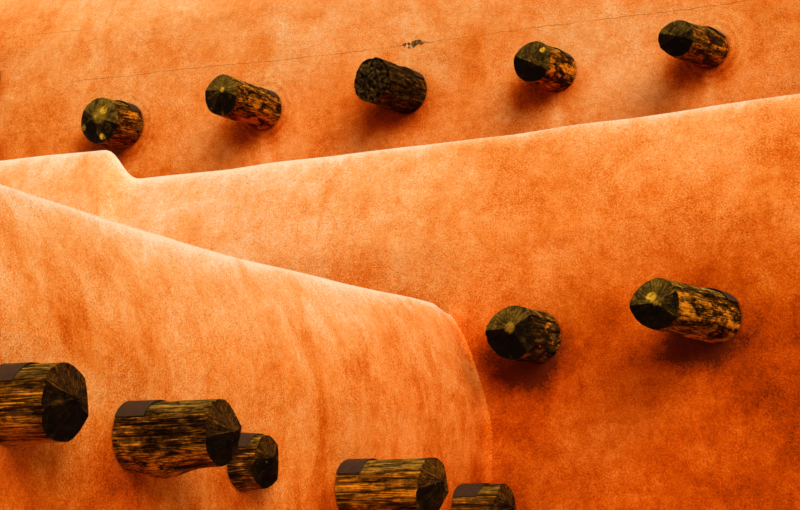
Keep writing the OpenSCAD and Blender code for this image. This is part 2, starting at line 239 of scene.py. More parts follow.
def build_mesh(name, points, polygons, material, attributes, crease):
    """Mesh object from point and face arrays at the origin, its faces turned outwards, smooth but for
    creases sharper than the given angle in degrees."""
    if signed_volume(points, polygons) < 0:
        polygons = [p[:, ::-1] for p in polygons]
    mesh = bpy.data.meshes.new(name)
    mesh.vertices.add(len(points))
    mesh.vertices.foreach_set("co", np.ascontiguousarray(points, np.float32).ravel())
    sizes = np.concatenate([np.full(len(p), p.shape[1]) for p in polygons])
    starts = np.concatenate([[0], np.cumsum(sizes)[:-1]])
    corners = np.concatenate([p.ravel() for p in polygons])
    mesh.loops.add(len(corners))
    mesh.loops.foreach_set("vertex_index", corners.astype(np.int32))
    mesh.polygons.add(len(sizes))
    mesh.polygons.foreach_set("loop_start", starts.astype(np.int32))
    mesh.polygons.foreach_set("use_smooth", np.ones(len(sizes), bool))
    mesh.materials.append(material)
    mesh.update(calc_edges=True)
    for key, values in attributes.items():
        kind, field = ("FLOAT_VECTOR", "vector") if values.ndim == 2 else ("FLOAT", "value")
        layer = mesh.attributes.new(key, kind, "POINT")
        layer.data.foreach_set(field, np.ascontiguousarray(values, np.float32).ravel())
    if crease:
        mesh.set_sharp_from_angle(angle=math.radians(crease))
    piece = bpy.data.objects.new(name, mesh)
    bpy.context.scene.collection.objects.link(piece)
    return piece


def keep_in_box(points):
    """Points held inside the CAD model's box."""
    return np.clip(points, CAD_LOW, CAD_HIGH)


def add_piece(name, nodes, material, mesh, crease=None):
    """Builds a piece from its points, faces and attributes, and lets it stand for its nodes."""
    points, polygons, attributes = mesh
    piece = build_mesh(name, keep_in_box(points), polygons, material, attributes, crease)
    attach(piece, "root")
    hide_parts(*nodes)


# Shader helper and shared effects


class Shader:
    """Adds and links the nodes of one shader tree."""

    def __init__(self, tree):
        self.tree = tree

    def add(self, kind, inputs=None, **settings):
        """New node with its own settings, and with its inputs fed by name or number."""
        node = self.tree.nodes.new(kind)
        for key, value in settings.items():
            setattr(node, key, value)
        for key, value in (inputs or {}).items():
            self.feed(node.inputs[key], value)
        return node

    def feed(self, socket, value):
        """Links an output to the socket, or sets the socket to a plain value."""
        if isinstance(value, bpy.types.NodeSocket):
            self.tree.links.new(value, socket)
        else:
            socket.default_value = value

    def maths(self, operation, a, b=0.0, c=0.0, clamp=False):
        inputs = {0: a, 1: b, 2: c}
        return self.add("ShaderNodeMath", inputs, operation=operation, use_clamp=clamp).outputs[0]

    def times(self, a, b):
        return self.maths("MULTIPLY", a, b)

    def plus(self, level, value, strength):
        """Level with a value added to it, times a strength."""
        return self.maths("MULTIPLY_ADD", value, strength, level)

    def shade(self, level, value, strength, middle=0.5):
        """Level moved by how far a value lies from its middle, times a strength."""
        return self.plus(level, self.maths("SUBTRACT", value, middle), strength)

    def add_up(self, *terms):
        """Sum of (value, weight) terms."""
        total = self.times(*terms[0])
        for value, weight in terms[1:]:
            total = self.plus(total, value, weight)
        return total

    def stretch(self, vector, scale):
        return self.add("ShaderNodeVectorMath", {0: vector, 1: scale}, operation="MULTIPLY").outputs[0]

    def shift(self, vector, offset):
        return self.add("ShaderNodeVectorMath", {0: vector, 1: offset}, operation="ADD").outputs[0]

    def noise(self, vector, scale, detail=3.0, roughness=0.5, distortion=0.0):
        node = self.add("ShaderNodeTexNoise", {
            "Vector": vector, "Scale": scale, "Detail": detail,
            "Roughness": roughness, "Distortion": distortion})
        return node.outputs["Fac"]

    def remap(self, value, lo, hi, out_lo=0.0, out_hi=1.0):
        """Smooth step of a value from one range to another."""
        node = self.add("ShaderNodeMapRange", {
            "Value": value, "From Min": lo, "From Max": hi,
            "To Min": out_lo, "To Max": out_hi}, interpolation_type="SMOOTHSTEP")
        return node.outputs["Result"]

    def colours(self, value, stops):
        """Colour of a value on a ramp of (place, colour) stops."""
        node = self.add("ShaderNodeValToRGB", {"Fac": value})
        elements = node.color_ramp.elements
        while len(elements) < len(stops):
            elements.new(0.5)
        for element, (place, colour) in zip(elements, stops):
            element.position = place
            element.color = colour
        return node.outputs["Color"]

    def mix(self, share, a, b):
        """Colour a turned into colour b by a share."""
        inputs = {"Factor": share, 6: a, 7: b}
        return self.add("ShaderNodeMix", inputs, data_type="RGBA", clamp_result=True).outputs[2]

    def attribute(self, name, output="Fac"):
        return self.add("ShaderNodeAttribute", attribute_name=name).outputs[output]

    def effect(self, tree, **inputs):
        """Outputs of a shared effect with its inputs fed by name."""
        return self.add("ShaderNodeGroup", inputs, node_tree=tree).outputs

    def cover(self, surface, colour, height, strength=1.0):
        """Feeds a surface its colour and its bumps."""
        bump = self.add("ShaderNodeBump", {"Height": height, "Strength": strength, "Distance": 1.0})
        self.feed(surface.inputs["Base Color"], colour)
        self.feed(surface.inputs["Normal"], bump.outputs["Normal"])


def new_effect(name, inputs, outputs):
    """Empty shader group with float inputs by their defaults, or vector ones by None, and with float
    outputs, and the sockets of its input and output nodes."""
    tree = bpy.data.node_groups.new(name, "ShaderNodeTree")
    for label, value in inputs.items():
        kind = "NodeSocketVector" if value is None else "NodeSocketFloat"
        socket = tree.interface.new_socket(label, in_out="INPUT", socket_type=kind)
        if value is not None:
            socket.default_value = value
    for label in outputs:
        tree.interface.new_socket(label, in_out="OUTPUT", socket_type="NodeSocketFloat")
    shader = Shader(tree)
    return shader, shader.add("NodeGroupInput").outputs, shader.add("NodeGroupOutput").inputs


def clouding_effect():
    """Soft mottling: two sizes of warped noise added and stretched to a 0 to 1 mask."""
    shader, given, result = new_effect(
        "clouding", {"Vector": None, "Size": 1.0, "Contrast": 1.0}, ["Mask"])
    per_metre = shader.maths("DIVIDE", 1.0, given["Size"])
    broad = shader.noise(given["Vector"], per_metre, 5.0, 0.58, 0.9)
    small = shader.noise(given["Vector"], shader.times(per_metre, 3.7), 6.0, 0.62, 0.5)
    both = shader.add_up((broad, 0.6), (small, 0.4))
    centred = shader.times(shader.maths("SUBTRACT", both, 0.5), given["Contrast"])
    shader.feed(result["Mask"], shader.maths("ADD", centred, 0.5, clamp=True))
    return shader.tree


def grit_effect():
    """Sandy grit: fine noise for the relief, and sparse dark specks where a finer one peaks."""
    shader, given, result = new_effect("grit", {"Vector": None, "Grain": 0.012}, ["Height", "Specks"])
    per_metre = shader.maths("DIVIDE", 1.0, given["Grain"])
    sand = shader.noise(given["Vector"], per_metre, 5.0, 0.65)
    dots = shader.noise(given["Vector"], shader.times(per_metre, 1.15), 1.5, 0.5)
    patches = shader.noise(given["Vector"], 2.6, 2.0, 0.5)
    limit = shader.maths("SUBTRACT", 0.74, shader.times(patches, 0.12))
    specks = shader.remap(shader.maths("SUBTRACT", dots, limit), 0.0, 0.06)
    shader.feed(result["Height"], sand)
    shader.feed(result["Specks"], specks)
    return shader.tree


def fibre_effect():
    """Wood fibre along the first axis of the vector: two stretched noises added and sharpened, and thin
    dark checks where two more stretched noises cross their middle."""
    shader, given, result = new_effect(
        "fibre", {"Vector": None, "Fineness": 1.0}, ["Fibres", "Checks", "Bands"])

    def stretched(along, across, detail, roughness, distortion):
        drawn = shader.stretch(given["Vector"], (along, across, across))
        return shader.noise(drawn, given["Fineness"], detail, roughness, distortion)

    coarse = stretched(2.6, 80.0, 4.0, 0.66, 0.4)
    fine = stretched(5.0, 210.0, 3.0, 0.6, 0.3)
    fibres = shader.remap(shader.add_up((coarse, 0.5), (fine, 0.5)), 0.3, 0.7)
    bands = stretched(1.6, 15.0, 4.0, 0.66, 0.7)

    def checks(along, across, widest):
        lines = stretched(along, across, 2.0, 0.5, 0.35)
        near = shader.maths("ABSOLUTE", shader.maths("SUBTRACT", lines, 0.5))
        gate = shader.noise(shader.stretch(given["Vector"], (2.4, 9.0, 9.0)), 1.0, 2.0)
        width = shader.remap(gate, 0.42, 0.62, 0.0, widest)
        share = shader.maths("DIVIDE", near, shader.maths("ADD", width, 0.0005))
        return shader.maths("SUBTRACT", 1.0, share, clamp=True)

    both = shader.maths("MAXIMUM", checks(1.2, 24.0, 0.045), checks(1.9, 47.0, 0.05))
    shader.feed(result["Fibres"], fibres)
    shader.feed(result["Checks"], both)
    shader.feed(result["Bands"], bands)
    return shader.tree


def new_material(name, roughness=0.5, specular=0.5):
    """Material with an empty tree, its shader helper and its Principled node."""
    material = bpy.data.materials.new(name)
    material.use_nodes = True
    material.node_tree.nodes.clear()
    shader = Shader(material.node_tree)
    surface = shader.add("ShaderNodeBsdfPrincipled", {
        "Roughness": roughness, "Specular IOR Level": specular})
    shader.add("ShaderNodeOutputMaterial", {"Surface": surface.outputs["BSDF"]})
    return material, shader, surface


def colour_of(settings, name):
    """A colour property as a linear RGBA tuple."""
    return (*getattr(settings, name), 1.0)


# Settings


def colour_property(name, description, *screen):
    """Colour property whose default is a plain 0 to 255 screen colour."""
    return bpy.props.FloatVectorProperty(
        name=name, description=description, default=linear(*screen)[:3], size=3, subtype="COLOR")


class AdobePlasterSettings(bpy.types.PropertyGroup):
    """Sizes and colours of the mud plaster."""

    undulation: bpy.props.FloatProperty(
        name="Undulation", description="Height of the broad waves of the hand-laid plaster",
        default=0.009, min=0.0, max=0.03, unit="LENGTH")
    edge_radius: bpy.props.FloatProperty(
        name="Doorway rounding", description="Radius of the plaster round a doorway",
        default=0.06, min=0.02, max=0.12, unit="LENGTH")
    cove: bpy.props.FloatProperty(
        name="Corner cove", description="Radius of the soft corner between two blocks",
        default=0.04, min=0.01, max=0.12, unit="LENGTH")
    fine_step: bpy.props.FloatProperty(
        name="Fine mesh", description="Mesh size on the walls that face the main view",
        default=0.032, min=0.02, max=0.1, unit="LENGTH")
    coarse_step: bpy.props.FloatProperty(
        name="Coarse mesh", description="Mesh size on the other walls",
        default=0.1, min=0.05, max=0.3, unit="LENGTH")
    # Pale is the painted highlight along the crests
    pale: colour_property("Pale", "Sun-bleached plaster on the crests", 255, 224, 184)
    peach: colour_property("Peach", "Plaster just under the crests", 255, 172, 95)
    orange: colour_property("Orange", "Plaster in the middle of a wall", 243, 131, 42)
    burnt: colour_property("Burnt orange", "Damp plaster low on a wall", 190, 66, 0)
    dark: colour_property("Dark stain", "Deepest stains and cracks", 92, 24, 0)
    # Smoked plaster is the purple-brown tint of the painted log shadows
    shadow: colour_property("Smoked plaster", "Purple-brown soiling round the logs", 120, 50, 24)


class AdobeTimberSettings(bpy.types.PropertyGroup):
    """Colours and sizes of the roof logs and lintels."""

    golden: colour_property("Golden wood", "Bare wood that glows on a log's flank", 232, 138, 16)
    brown: colour_property("Brown wood", "Weathered fibre", 120, 68, 10)
    black: colour_property("Black wood", "Checks, cracks and old cuts", 16, 6, 0)
    # Silvered wood also serves as the painted highlight on a log's top
    silver: colour_property("Silvered wood", "Sun-bleached fibre on top of a log", 196, 146, 52)
    # Painted orange bounce light on a log's underside
    underside_bounce: colour_property("Red stain", "Red-brown underside of a log", 186, 86, 8)
    # Olive and umber are the lit tops of the ramp of painted facet light on the cut ends
    olive: colour_property("Olive", "Greenish end grain of the upper rows", 132, 98, 24)
    umber: colour_property("Umber", "Brown end grain of the low wing's row", 118, 66, 10)
    heart: colour_property("Heart", "Bright resin spot at a cut end", 244, 182, 44)
    columns: bpy.props.IntProperty(
        name="Columns", description="Mesh columns round a log in the main view",
        default=132, min=24, max=200)


class AdobeMetalSettings(bpy.types.PropertyGroup):
    """Sheet-metal saddles over the logs."""

    reach: bpy.props.FloatProperty(
        name="Saddle reach", description="How far a saddle covers its log from the wall",
        default=0.13, min=0.05, max=0.3, unit="LENGTH")
    sweep: bpy.props.FloatProperty(
        name="Saddle sweep", description="Half of the angle that a saddle covers about its log",
        default=math.radians(60.0), min=0.3, max=1.5, subtype="ANGLE")
    colour: colour_property("Sheet metal", "Dull weathered sheet", 70, 49, 32)


class AdobeStageSettings(bpy.types.PropertyGroup):
    """Camera, lamps and floor."""

    focal_length: bpy.props.FloatProperty(
        name="Focal length", description="Lens of the camera in millimetres",
        default=92.25, min=20.0, max=300.0)
    eye_height: bpy.props.FloatProperty(
        name="Eye height", description="Height of the camera above the ground",
        default=2.2, min=1.0, max=4.0, unit="LENGTH")
    key_power: bpy.props.FloatProperty(
        name="Key light", description="Strength of the soft key light",
        default=3.03, min=0.0, max=10.0)
    top_power: bpy.props.FloatProperty(
        name="Top light", description="Strength of the wide light from overhead",
        default=0.55, min=0.0, max=10.0)
    ambient: bpy.props.FloatProperty(
        name="Ambient", description="Strength of the even light from all round",
        default=0.22, min=0.0, max=2.0)


# Roof logs. The local frame of a log has a along its axis towards the seen end, h to the right
# and v upwards for someone who faces that end.


# The rows of logs: axis, place of the wall along it, painted shadow and dirt on the wall, number
# before the first seed, and whether the hidden ends are sawn square
ROWS = {
    "low": ("east", LOW_EAST, 0.5, 10, False),
    "hall": ("south", -HALL_SOUTH, 1.0, 20, True),
    "rear": ("south", -REAR_SOUTH, 1.0, 30, False),
    "roof_spout": ("south", -REAR_SOUTH, 1.0, 38, False),
}


@dataclass
class Log:
    """One roof log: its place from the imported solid, and its own sizes and looks."""

    node: str
    root_width: float
    tip_width: float
    far_width: float
    # Axe cuts of the seen end as (direction in degrees, slope), and its tip in shares of the radius
    cuts: tuple = ()
    apex: tuple = (0.0, 0.0)
    # Bright hearts as (right, up, size, strength), cracks as (direction, depth), and bands of
    # painted shade round the log as (direction, width in degrees, strength)
    spots: tuple = ()
    cracks: tuple = ()
    shade_band: tuple = ()
    bark: float = 0.0
    belly: float = 0.0
    rough: float = 0.0012
    droop: float = 0.0
    fine: bool = True
    rings: float = 0.0
    drip: float = 0.0
    olive: float = 1.0
    glow: float = 0.5
    # Length by which the log ends short of its solid
    short: float = 0.0
    # Painted light added to the seen end's facets
    light: float = 0.0

    def __post_init__(self):
        row, _, number = self.node.partition("_viga_")
        self.axis, self.wall, self.soot, first_seed, self.sawn = ROWS[row]
        self.seed = first_seed + int(number or 0)
        self.root = self.root_width / 2.0
        self.radius = self.tip_width / 2.0
        self.far_radius = self.far_width / 2.0
        lo, hi = node_low(self.node), node_high(self.node)
        centre = node_middle(self.node)
        if self.axis == "east":
            self.origin = np.array([0.0, centre[1], centre[2]])
            self.start, self.end = lo[0], hi[0] - self.short
        else:
            self.origin = np.array([centre[0], 0.0, centre[2]])
            self.start, self.end = -hi[1], -lo[1] - self.short

    def taper(self, a):
        """Plain radius at place a: straight from the far end to the wall, and on to the rim."""
        places = [self.start, self.wall, self.end - POINT]
        return np.interp(a, places, [self.far_radius, self.root, self.radius])

    def world(self, a, h, v):
        """Local lengths turned into points of the house."""
        if self.axis == "east":
            return np.stack([a, self.origin[1] + h, self.origin[2] + v], axis=-1)
        return np.stack([self.origin[0] + h, -a, self.origin[2] + v], axis=-1)

    def across(self, points):
        """Distance to the right of the axis line, and above it, for someone who faces the seen end."""
        sideways = 1 if self.axis == "east" else 0
        return points[..., sideways] - self.origin[sideways], points[..., 2] - self.origin[2]


# Look of the low wing's splintered ends
SPLINTERED = {"rough": 0.011, "olive": 0.0}
LOGS = {
    "low": [
        Log("low_viga_1", 0.27, 0.27, 0.25, fine=False, olive=0.0),
        Log("low_viga_2", 0.272, 0.267, 0.24, apex=(-0.09, 0.07), **SPLINTERED,
            cuts=((118, 0.62), (184, 0.56), (247, 0.7), (310, 0.62), (10, 0.6), (62, 0.6)),
            cracks=((152, 0.011), (118, 0.006), (193, 0.005)), shade_band=((188, 20, 0.1),), glow=0.35),
        Log("low_viga_3", 0.254, 0.241, 0.245, short=0.02, apex=(-0.09, 0.02), **SPLINTERED,
            cuts=((112, 0.62), (170, 0.5), (226, 0.55), (280, 0.6), (340, 0.55), (50, 0.6)),
            cracks=((128, 0.009), (112, 0.006), (162, 0.007), (182, 0.006)), shade_band=((168, 24, 0.26),),
            belly=0.034, glow=0.6),
        Log("low_viga_4", 0.228, 0.211, 0.25, short=0.022, apex=(-0.29, 0.13), **SPLINTERED,
            cuts=((108, 0.6), (160, 0.6), (222, 0.66), (285, 0.55), (0, 0.5), (55, 0.5)),
            cracks=((178, 0.007),), shade_band=((150, 40, 0.16),), bark=0.3, glow=0.6),
        Log("low_viga_5", 0.25, 0.255, 0.24, light=0.2, short=0.014, apex=(0.02, 0.2),
            **SPLINTERED, cuts=((118, 0.62), (176, 0.5), (232, 0.58), (300, 0.55), (20, 0.5), (72, 0.5)),
            cracks=((148, 0.01), (128, 0.007), (166, 0.008), (186, 0.007), (205, 0.006)), glow=0.45),
        Log("low_viga_6", 0.251, 0.247, 0.236, apex=(-0.1, 0.08), **SPLINTERED,
            cuts=((112, 0.55), (172, 0.55), (240, 0.6), (300, 0.5), (20, 0.5), (65, 0.55)),
            cracks=((146, 0.011), (124, 0.007), (172, 0.007)), bark=0.3, glow=0.3),
    ],
    "hall": [
        Log("hall_viga_1", 0.25, 0.25, 0.24, fine=False),
        Log("hall_viga_2", 0.256, 0.256, 0.24, fine=False),
        Log("hall_viga_3", 0.246, 0.246, 0.24, fine=False),
        Log("hall_viga_4", 0.252, 0.252, 0.24, fine=False),
        Log("hall_viga_5", 0.255, 0.256, 0.24, short=0.045, apex=(0.12, 0.13), droop=0.003,
            cuts=((100, 0.5), (-20, 0.3), (-105, 0.36)), spots=((0.006, 0.02, 0.022, 0.42),),
            cracks=((34, 0.012), (8, 0.008)), shade_band=((10, 40, 0.1),), bark=0.9, glow=0.9),
        Log("hall_viga_6", 0.241, 0.229, 0.24, short=0.05, apex=(0.15, 0.0), droop=0.019,
            cuts=((98, 0.5), (-3, 0.26), (-100, 0.42)),
            spots=((-0.016, 0.028, 0.021, 0.95), (0.012, 0.0, 0.009, 0.6), (0.03, -0.006, 0.007, 0.5)),
            cracks=((37, 0.014),), shade_band=((36, 9, 0.14),), glow=1.0),
    ],
    "rear": [
        Log("rear_viga_1", 0.28, 0.28, 0.26, fine=False),
        Log("rear_viga_2", 0.34, 0.35, 0.28, light=0.2, apex=(-0.05, 0.13), rings=1.0, droop=0.018,
            cuts=((60, 0.3), (118, 0.32), (180, 0.3), (-60, 0.34), (-122, 0.34), (5, 0.28)),
            spots=((0.0, 0.022, 0.012, 0.7), (0.055, 0.07, 0.026, 0.9), (0.03, -0.125, 0.018, 0.8),
                   (-0.14, -0.04, 0.018, 0.55), (0.02, 0.03, 0.05, 0.25)),
            cracks=((44, 0.012),), shade_band=((0, 50, 0.12),), glow=0.6),
        Log("rear_viga_3", 0.285, 0.29, 0.27, light=0.24, apex=(0.23, 0.16), rings=1.0, drip=1.0,
            droop=-0.003, cuts=((128, 0.42), (66, 0.44), (8, 0.36), (-78, 0.46), (-160, 0.34)),
            spots=((0.036, 0.024, 0.015, 1.0),), cracks=((40, 0.011),), glow=1.0),
        Log("rear_viga_4", 0.308, 0.297, 0.27, apex=(0.1, -0.1), rough=0.017, bark=1.0, droop=0.011,
            cuts=((110, 0.45), (40, 0.4), (-20, 0.5), (-80, 0.5), (-140, 0.5), (170, 0.55)), olive=0.6,
            glow=0.15),
        Log("rear_viga_5", 0.272, 0.278, 0.28, apex=(0.03, -0.09), drip=0.9, droop=0.009,
            cuts=((102, 0.46), (8, 0.3), (-85, 0.44), (-160, 0.4)),
            spots=((0.082, 0.066, 0.017, 1.3), (0.0, -0.006, 0.006, 0.5)), cracks=((46, 0.009),),
            glow=1.0),
        Log("rear_viga_6", 0.248, 0.232, 0.27, short=0.025, apex=(0.17, 0.0), rings=1.0, drip=0.7,
            droop=0.053, cuts=((90, 0.5), (-90, 0.5), (0, 0.18), (180, 0.16)), bark=0.45, glow=0.8),
        Log("rear_viga_7", 0.268, 0.268, 0.26, fine=False),
    ],
}
# The hall log without a saddle
BARE_LOG = "hall_viga_5"
# The roof spout leaves a painted shadow, with some dirt, on the plaster round it like a log
SPOUT_ROOT = Log("roof_spout", 0.23, 0.23, 0.23)


# Mesh of a log: step inside the walls and outside them, and rows over the rim and over the end
FINE_MESH = (0.3, 0.016, 9, 18)
PLAIN_MESH = (0.45, 0.06, 4, 6)
PLAIN_COLUMNS = 40
FAR_ROWS = 4
RIM_ZONE = 0.09
LOWEST = -1e9


def facet_top(h, v, tip, cuts, apex):
    """Height of an axe-cut end: the lowest of the planes that fall from its tip by their slopes."""
    fall = np.full(np.shape(h), LOWEST)
    for angle, slope in cuts:
        t = math.radians(angle)
        fall = np.maximum(fall, slope * ((h - apex[0]) * math.cos(t) + (v - apex[1]) * math.sin(t)))
    return tip - fall


def painted_facet_light(h, v, cuts, apex, log):
    """Painted light of the lowest facet: brighter where it looks up and, on logs that point south, east."""
    sideways = 0.16 if log.axis == "south" else 0.0
    best = np.full(np.shape(h), LOWEST)
    light = np.zeros(np.shape(h))
    for k, (angle, slope) in enumerate(cuts):
        t = math.radians(angle)
        fall = slope * ((h - apex[0]) * math.cos(t) + (v - apex[1]) * math.sin(t))
        # Painted light: a facet that looks up is brighter, and on south logs one that looks east
        own = 0.42 + 0.34 * math.sin(t) + sideways * math.cos(t)
        own = own + 0.08 * math.sin(log.seed * 7.1 + k * 2.9)
        light = np.where(fall > best, own, light)
        best = np.maximum(best, fall)
    return np.clip(light, 0.0, 1.0)


def default_cuts(seed):
    """Six axe cuts at slightly uneven angles and slopes."""
    return tuple(
        (seed * 29 + 60 * k + 13 * math.sin(seed * 3.1 + k * 1.7), 0.5 + 0.08 * math.sin(seed + k))
        for k in range(6))


def ridge_angles(cuts):
    """Directions, from the tip, of the ridges between neighbouring cuts."""
    found = []
    ordered = sorted((angle % 360, slope) for angle, slope in cuts)
    for (a0, s0), (a1, s1) in zip(ordered, ordered[1:] + ordered[:1]):
        t0, t1 = math.radians(a0), math.radians(a1)
        top = s0 * math.cos(t0) - s1 * math.cos(t1)
        bottom = s1 * math.sin(t1) - s0 * math.sin(t0)
        angle = math.atan2(top, bottom)
        if s0 * math.cos(angle - t0) < 0:
            angle += math.pi
        found.append(angle % (2 * math.pi))
    return found


def crack_wander(log, a):
    """Angle by which a crack strays along its log."""
    return 0.07 * noise(joined(a, 0 * a, 0 * a), 0.14, log.seed + 5)


def crack_offset(log, a, theta, place):
    """Distance round the log from a crack at the given angle in degrees."""
    return np.angle(np.exp(1j * (theta - math.radians(place) - crack_wander(log, a)))) * log.root


def log_radius(log, a, theta):
    """Radius at place a and angle theta: the taper, low bumps, narrow drying cracks, loose bark and
    a belly on the underside."""
    radius = log.taper(a)
    spot = joined(a, 0.14 * np.cos(theta) + 0.0 * a, 0.14 * np.sin(theta) + 0.0 * a)
    outside = ramp((a - log.wall - 0.1) / 0.1)
    radius = radius + 0.0032 * noise(spot, (0.5, 0.09, 0.09), log.seed) * (0.5 + 0.5 * outside)
    radius = radius + 0.0018 * noise(spot, (0.3, 0.02, 0.02), log.seed + 50) * (0.4 + 0.6 * outside)
    for place, depth in log.cracks:
        radius = radius - depth * np.exp(-(crack_offset(log, a, theta, place) / 0.005) ** 2)
    if log.bark > 0:
        flake = noise(spot, (0.11, 0.05, 0.05), log.seed + 9)
        flake = flake + 0.35 * noise(spot, (0.04, 0.02, 0.02), log.seed + 3)
        radius = radius + 0.006 * log.bark * ramp((flake + 0.15) * 4.0) * outside
    if log.belly > 0:
        below = np.clip(-np.sin(theta), 0.0, 1.0) ** 2
        radius = radius + log.belly * below * np.exp(-((a - log.wall - 0.148) / 0.095) ** 2)
    return np.minimum(radius, max(log.radius, log.root, log.far_radius) * SAW_SLACK + log.belly)


def column_angles(log, cuts, tip, count):
    """Angles round the log of its columns: even as seen from the tip, with one on each ridge
    between two axe cuts."""
    ridges = ridge_angles(cuts)
    even = np.linspace(0.0, 2 * math.pi, count, endpoint=False)
    clear = np.abs(np.angle(np.exp(1j * (even[:, None] - np.array(ridges)[None, :])))).min(axis=1)
    psi = np.sort(np.concatenate([even[clear > 0.4 * 2 * math.pi / count], ridges]))
    b = tip[0] * np.cos(psi) + tip[1] * np.sin(psi)
    reach = -b + np.sqrt(b * b + log.radius ** 2 - tip[0] ** 2 - tip[1] ** 2)
    return np.arctan2(tip[1] + reach * np.sin(psi), tip[0] + reach * np.cos(psi))


def far_face(log, h, v):
    """Places of the hidden end, sawn square or cut with an axe like the seen one."""
    if log.sawn:
        return np.full(np.shape(h), log.start)
    return 2 * log.start - facet_top(h, v, log.start, default_cuts(log.seed + 3), (0.0, 0.0))


def log_looks(log, a, h, v, on_end, cuts, tip):
    """What the shader reads at each point: the places along the grain and across the section, the
    painted light of the end's facets and its hearts, cracks, bands of painted shade, how far the point
    faces up for the painted highlight on top and painted bounce light below, and the log's own bark,
    olive tint and glow."""
    theta = np.arctan2(v, h)
    heart = np.zeros(len(a))
    for spot_h, spot_v, size, strength in log.spots:
        off = np.hypot(h - spot_h, v - spot_v) / size
        heart = np.maximum(heart, strength * ramp((1.4 - off) / 0.6))
    crack = np.zeros(len(a))
    for place, depth in log.cracks:
        off = crack_offset(log, a, theta, place)
        crack = np.maximum(crack, np.exp(-(off / (0.35 * depth + 0.002)) ** 2) * ramp(depth / 0.006))
    shade_band = np.zeros(len(a))
    for place, width, strength in log.shade_band:
        off = np.degrees(np.angle(np.exp(1j * (theta - math.radians(place)))))
        shade_band = shade_band + strength * np.exp(-(off / width) ** 2)
    drift = 3.7 * log.seed
    return {
        "grain": joined(a + drift, h + drift, v),
        "section": np.stack([h - tip[0], v - tip[1], 0 * h], axis=-1),
        "on_end": on_end,
        "facet": painted_facet_light(h, v, cuts, tip, log) + log.light,
        "heart": heart * on_end * (a > log.wall),
        "crack": crack,
        "shade_band": shade_band,
        # How far a point faces up: picks the painted highlight on top and the painted bounce light below
        "high": np.sin(theta),
        "bark": np.full(len(a), log.bark),
        "olive": np.full(len(a), log.olive),
        "glow": np.full(len(a), log.glow),
    }


def log_mesh(log, columns):
    """Closed log: columns of constant angle from the far end to the rim of the seen end, whose
    columns then run straight to the tip."""
    cuts = log.cuts or default_cuts(log.seed)
    inside_step, outside_step, rim_rows, end_rows = FINE_MESH if log.fine else PLAIN_MESH
    tip = (log.apex[0] * log.radius, log.apex[1] * log.radius)
    theta = column_angles(log, cuts, tip, columns if log.fine else PLAIN_COLUMNS)

    rim_r = log_radius(log, np.full(len(theta), log.end - POINT), theta)
    rim = facet_top(rim_r * np.cos(theta), rim_r * np.sin(theta), log.end, cuts, tip)
    far_r = log_radius(log, np.full(len(theta), log.start + POINT), theta)
    far_rim = far_face(log, far_r * np.cos(theta), far_r * np.sin(theta))

    split = log.end - POINT - RIM_ZONE
    inside = spread(log.start + 2 * POINT, log.wall - 0.06, inside_step)
    outside = spread(log.wall - 0.04, split, outside_step)
    levels = np.concatenate([inside, outside])
    side = np.broadcast_to(levels[:, None], (len(levels), len(theta)))
    closing = split + (rim[None, :] - split) * np.linspace(0.0, 1.0, rim_rows)[1:, None] ** 0.8
    leaving = np.linspace(0.0, 1.0, FAR_ROWS)[:-1, None]
    opening = far_rim[None, :] + (levels[0] - far_rim[None, :]) * leaving
    a = np.concatenate([opening, side, closing])
    radius = log_radius(log, a, np.broadcast_to(theta, a.shape))
    h, v = radius * np.cos(theta), radius * np.sin(theta)

    share = np.linspace(1.0, 0.0, end_rows + 1)[1:-1, None]
    end_h = tip[0] + (h[-1] - tip[0]) * share
    end_v = tip[1] + (v[-1] - tip[1]) * share
    end_a = facet_top(end_h, end_v, log.end, cuts, tip)
    chip = joined(end_a, end_h, end_v)
    dent = noise(chip, 0.024, log.seed + 20) + noise(chip, 0.06, log.seed + 21) - 0.8
    end_a = end_a + log.rough * dent * np.minimum(1.0, 6.0 * share * (1.0 - share) + 0.3)
    far_share = np.linspace(0.0, 1.0, FAR_ROWS)[1:-1, None]
    far_h, far_v = h[0] * far_share, v[0] * far_share
    far_a = far_face(log, far_h, far_v)

    on_end = np.concatenate([np.ones(far_a.shape), np.zeros(a.shape), np.ones(end_a.shape)])
    on_end[len(far_a) + len(a) - 1] = 0.5
    a = np.concatenate([far_a, a, end_a])
    rows, cols = a.shape
    flat_a = np.concatenate([a.ravel(), [log.start, log.end]])
    flat_h = np.concatenate([far_h.ravel(), h.ravel(), end_h.ravel(), [0.0, tip[0]]])
    flat_v = np.concatenate([far_v.ravel(), v.ravel(), end_v.ravel(), [0.0, tip[1]]])
    flat_end = np.concatenate([on_end.ravel(), [1.0, 1.0]])
    bend = log.droop * ramp((flat_a - log.wall) / (log.end - log.wall))
    points = log.world(flat_a, flat_h, flat_v - bend)

    first, last = rows * cols, rows * cols + 1
    around = np.arange(cols)
    after = (around + 1) % cols
    base = (rows - 1) * cols
    fans = np.concatenate([
        joined(np.full(cols, first), around, after),
        joined(np.full(cols, last), base + after, base + around)])
    polygons = [grid_quads(rows, cols, wrap_cols=True), fans]
    return points, polygons, log_looks(log, flat_a, flat_h, flat_v, flat_end, cuts, tip)


# Wall skins


def right_of(direction):
    """Direction to the right of someone who walks along the given one."""
    return np.array([direction[1], -direction[0]])


def straight_run(start, direction, places):
    """Stations along a straight outer face: the outer points, and inner points a wall's thickness
    to the left."""
    outer = np.asarray(start, float) + np.outer(places, direction)
    return np.hstack([outer, outer - WALL * right_of(direction)])


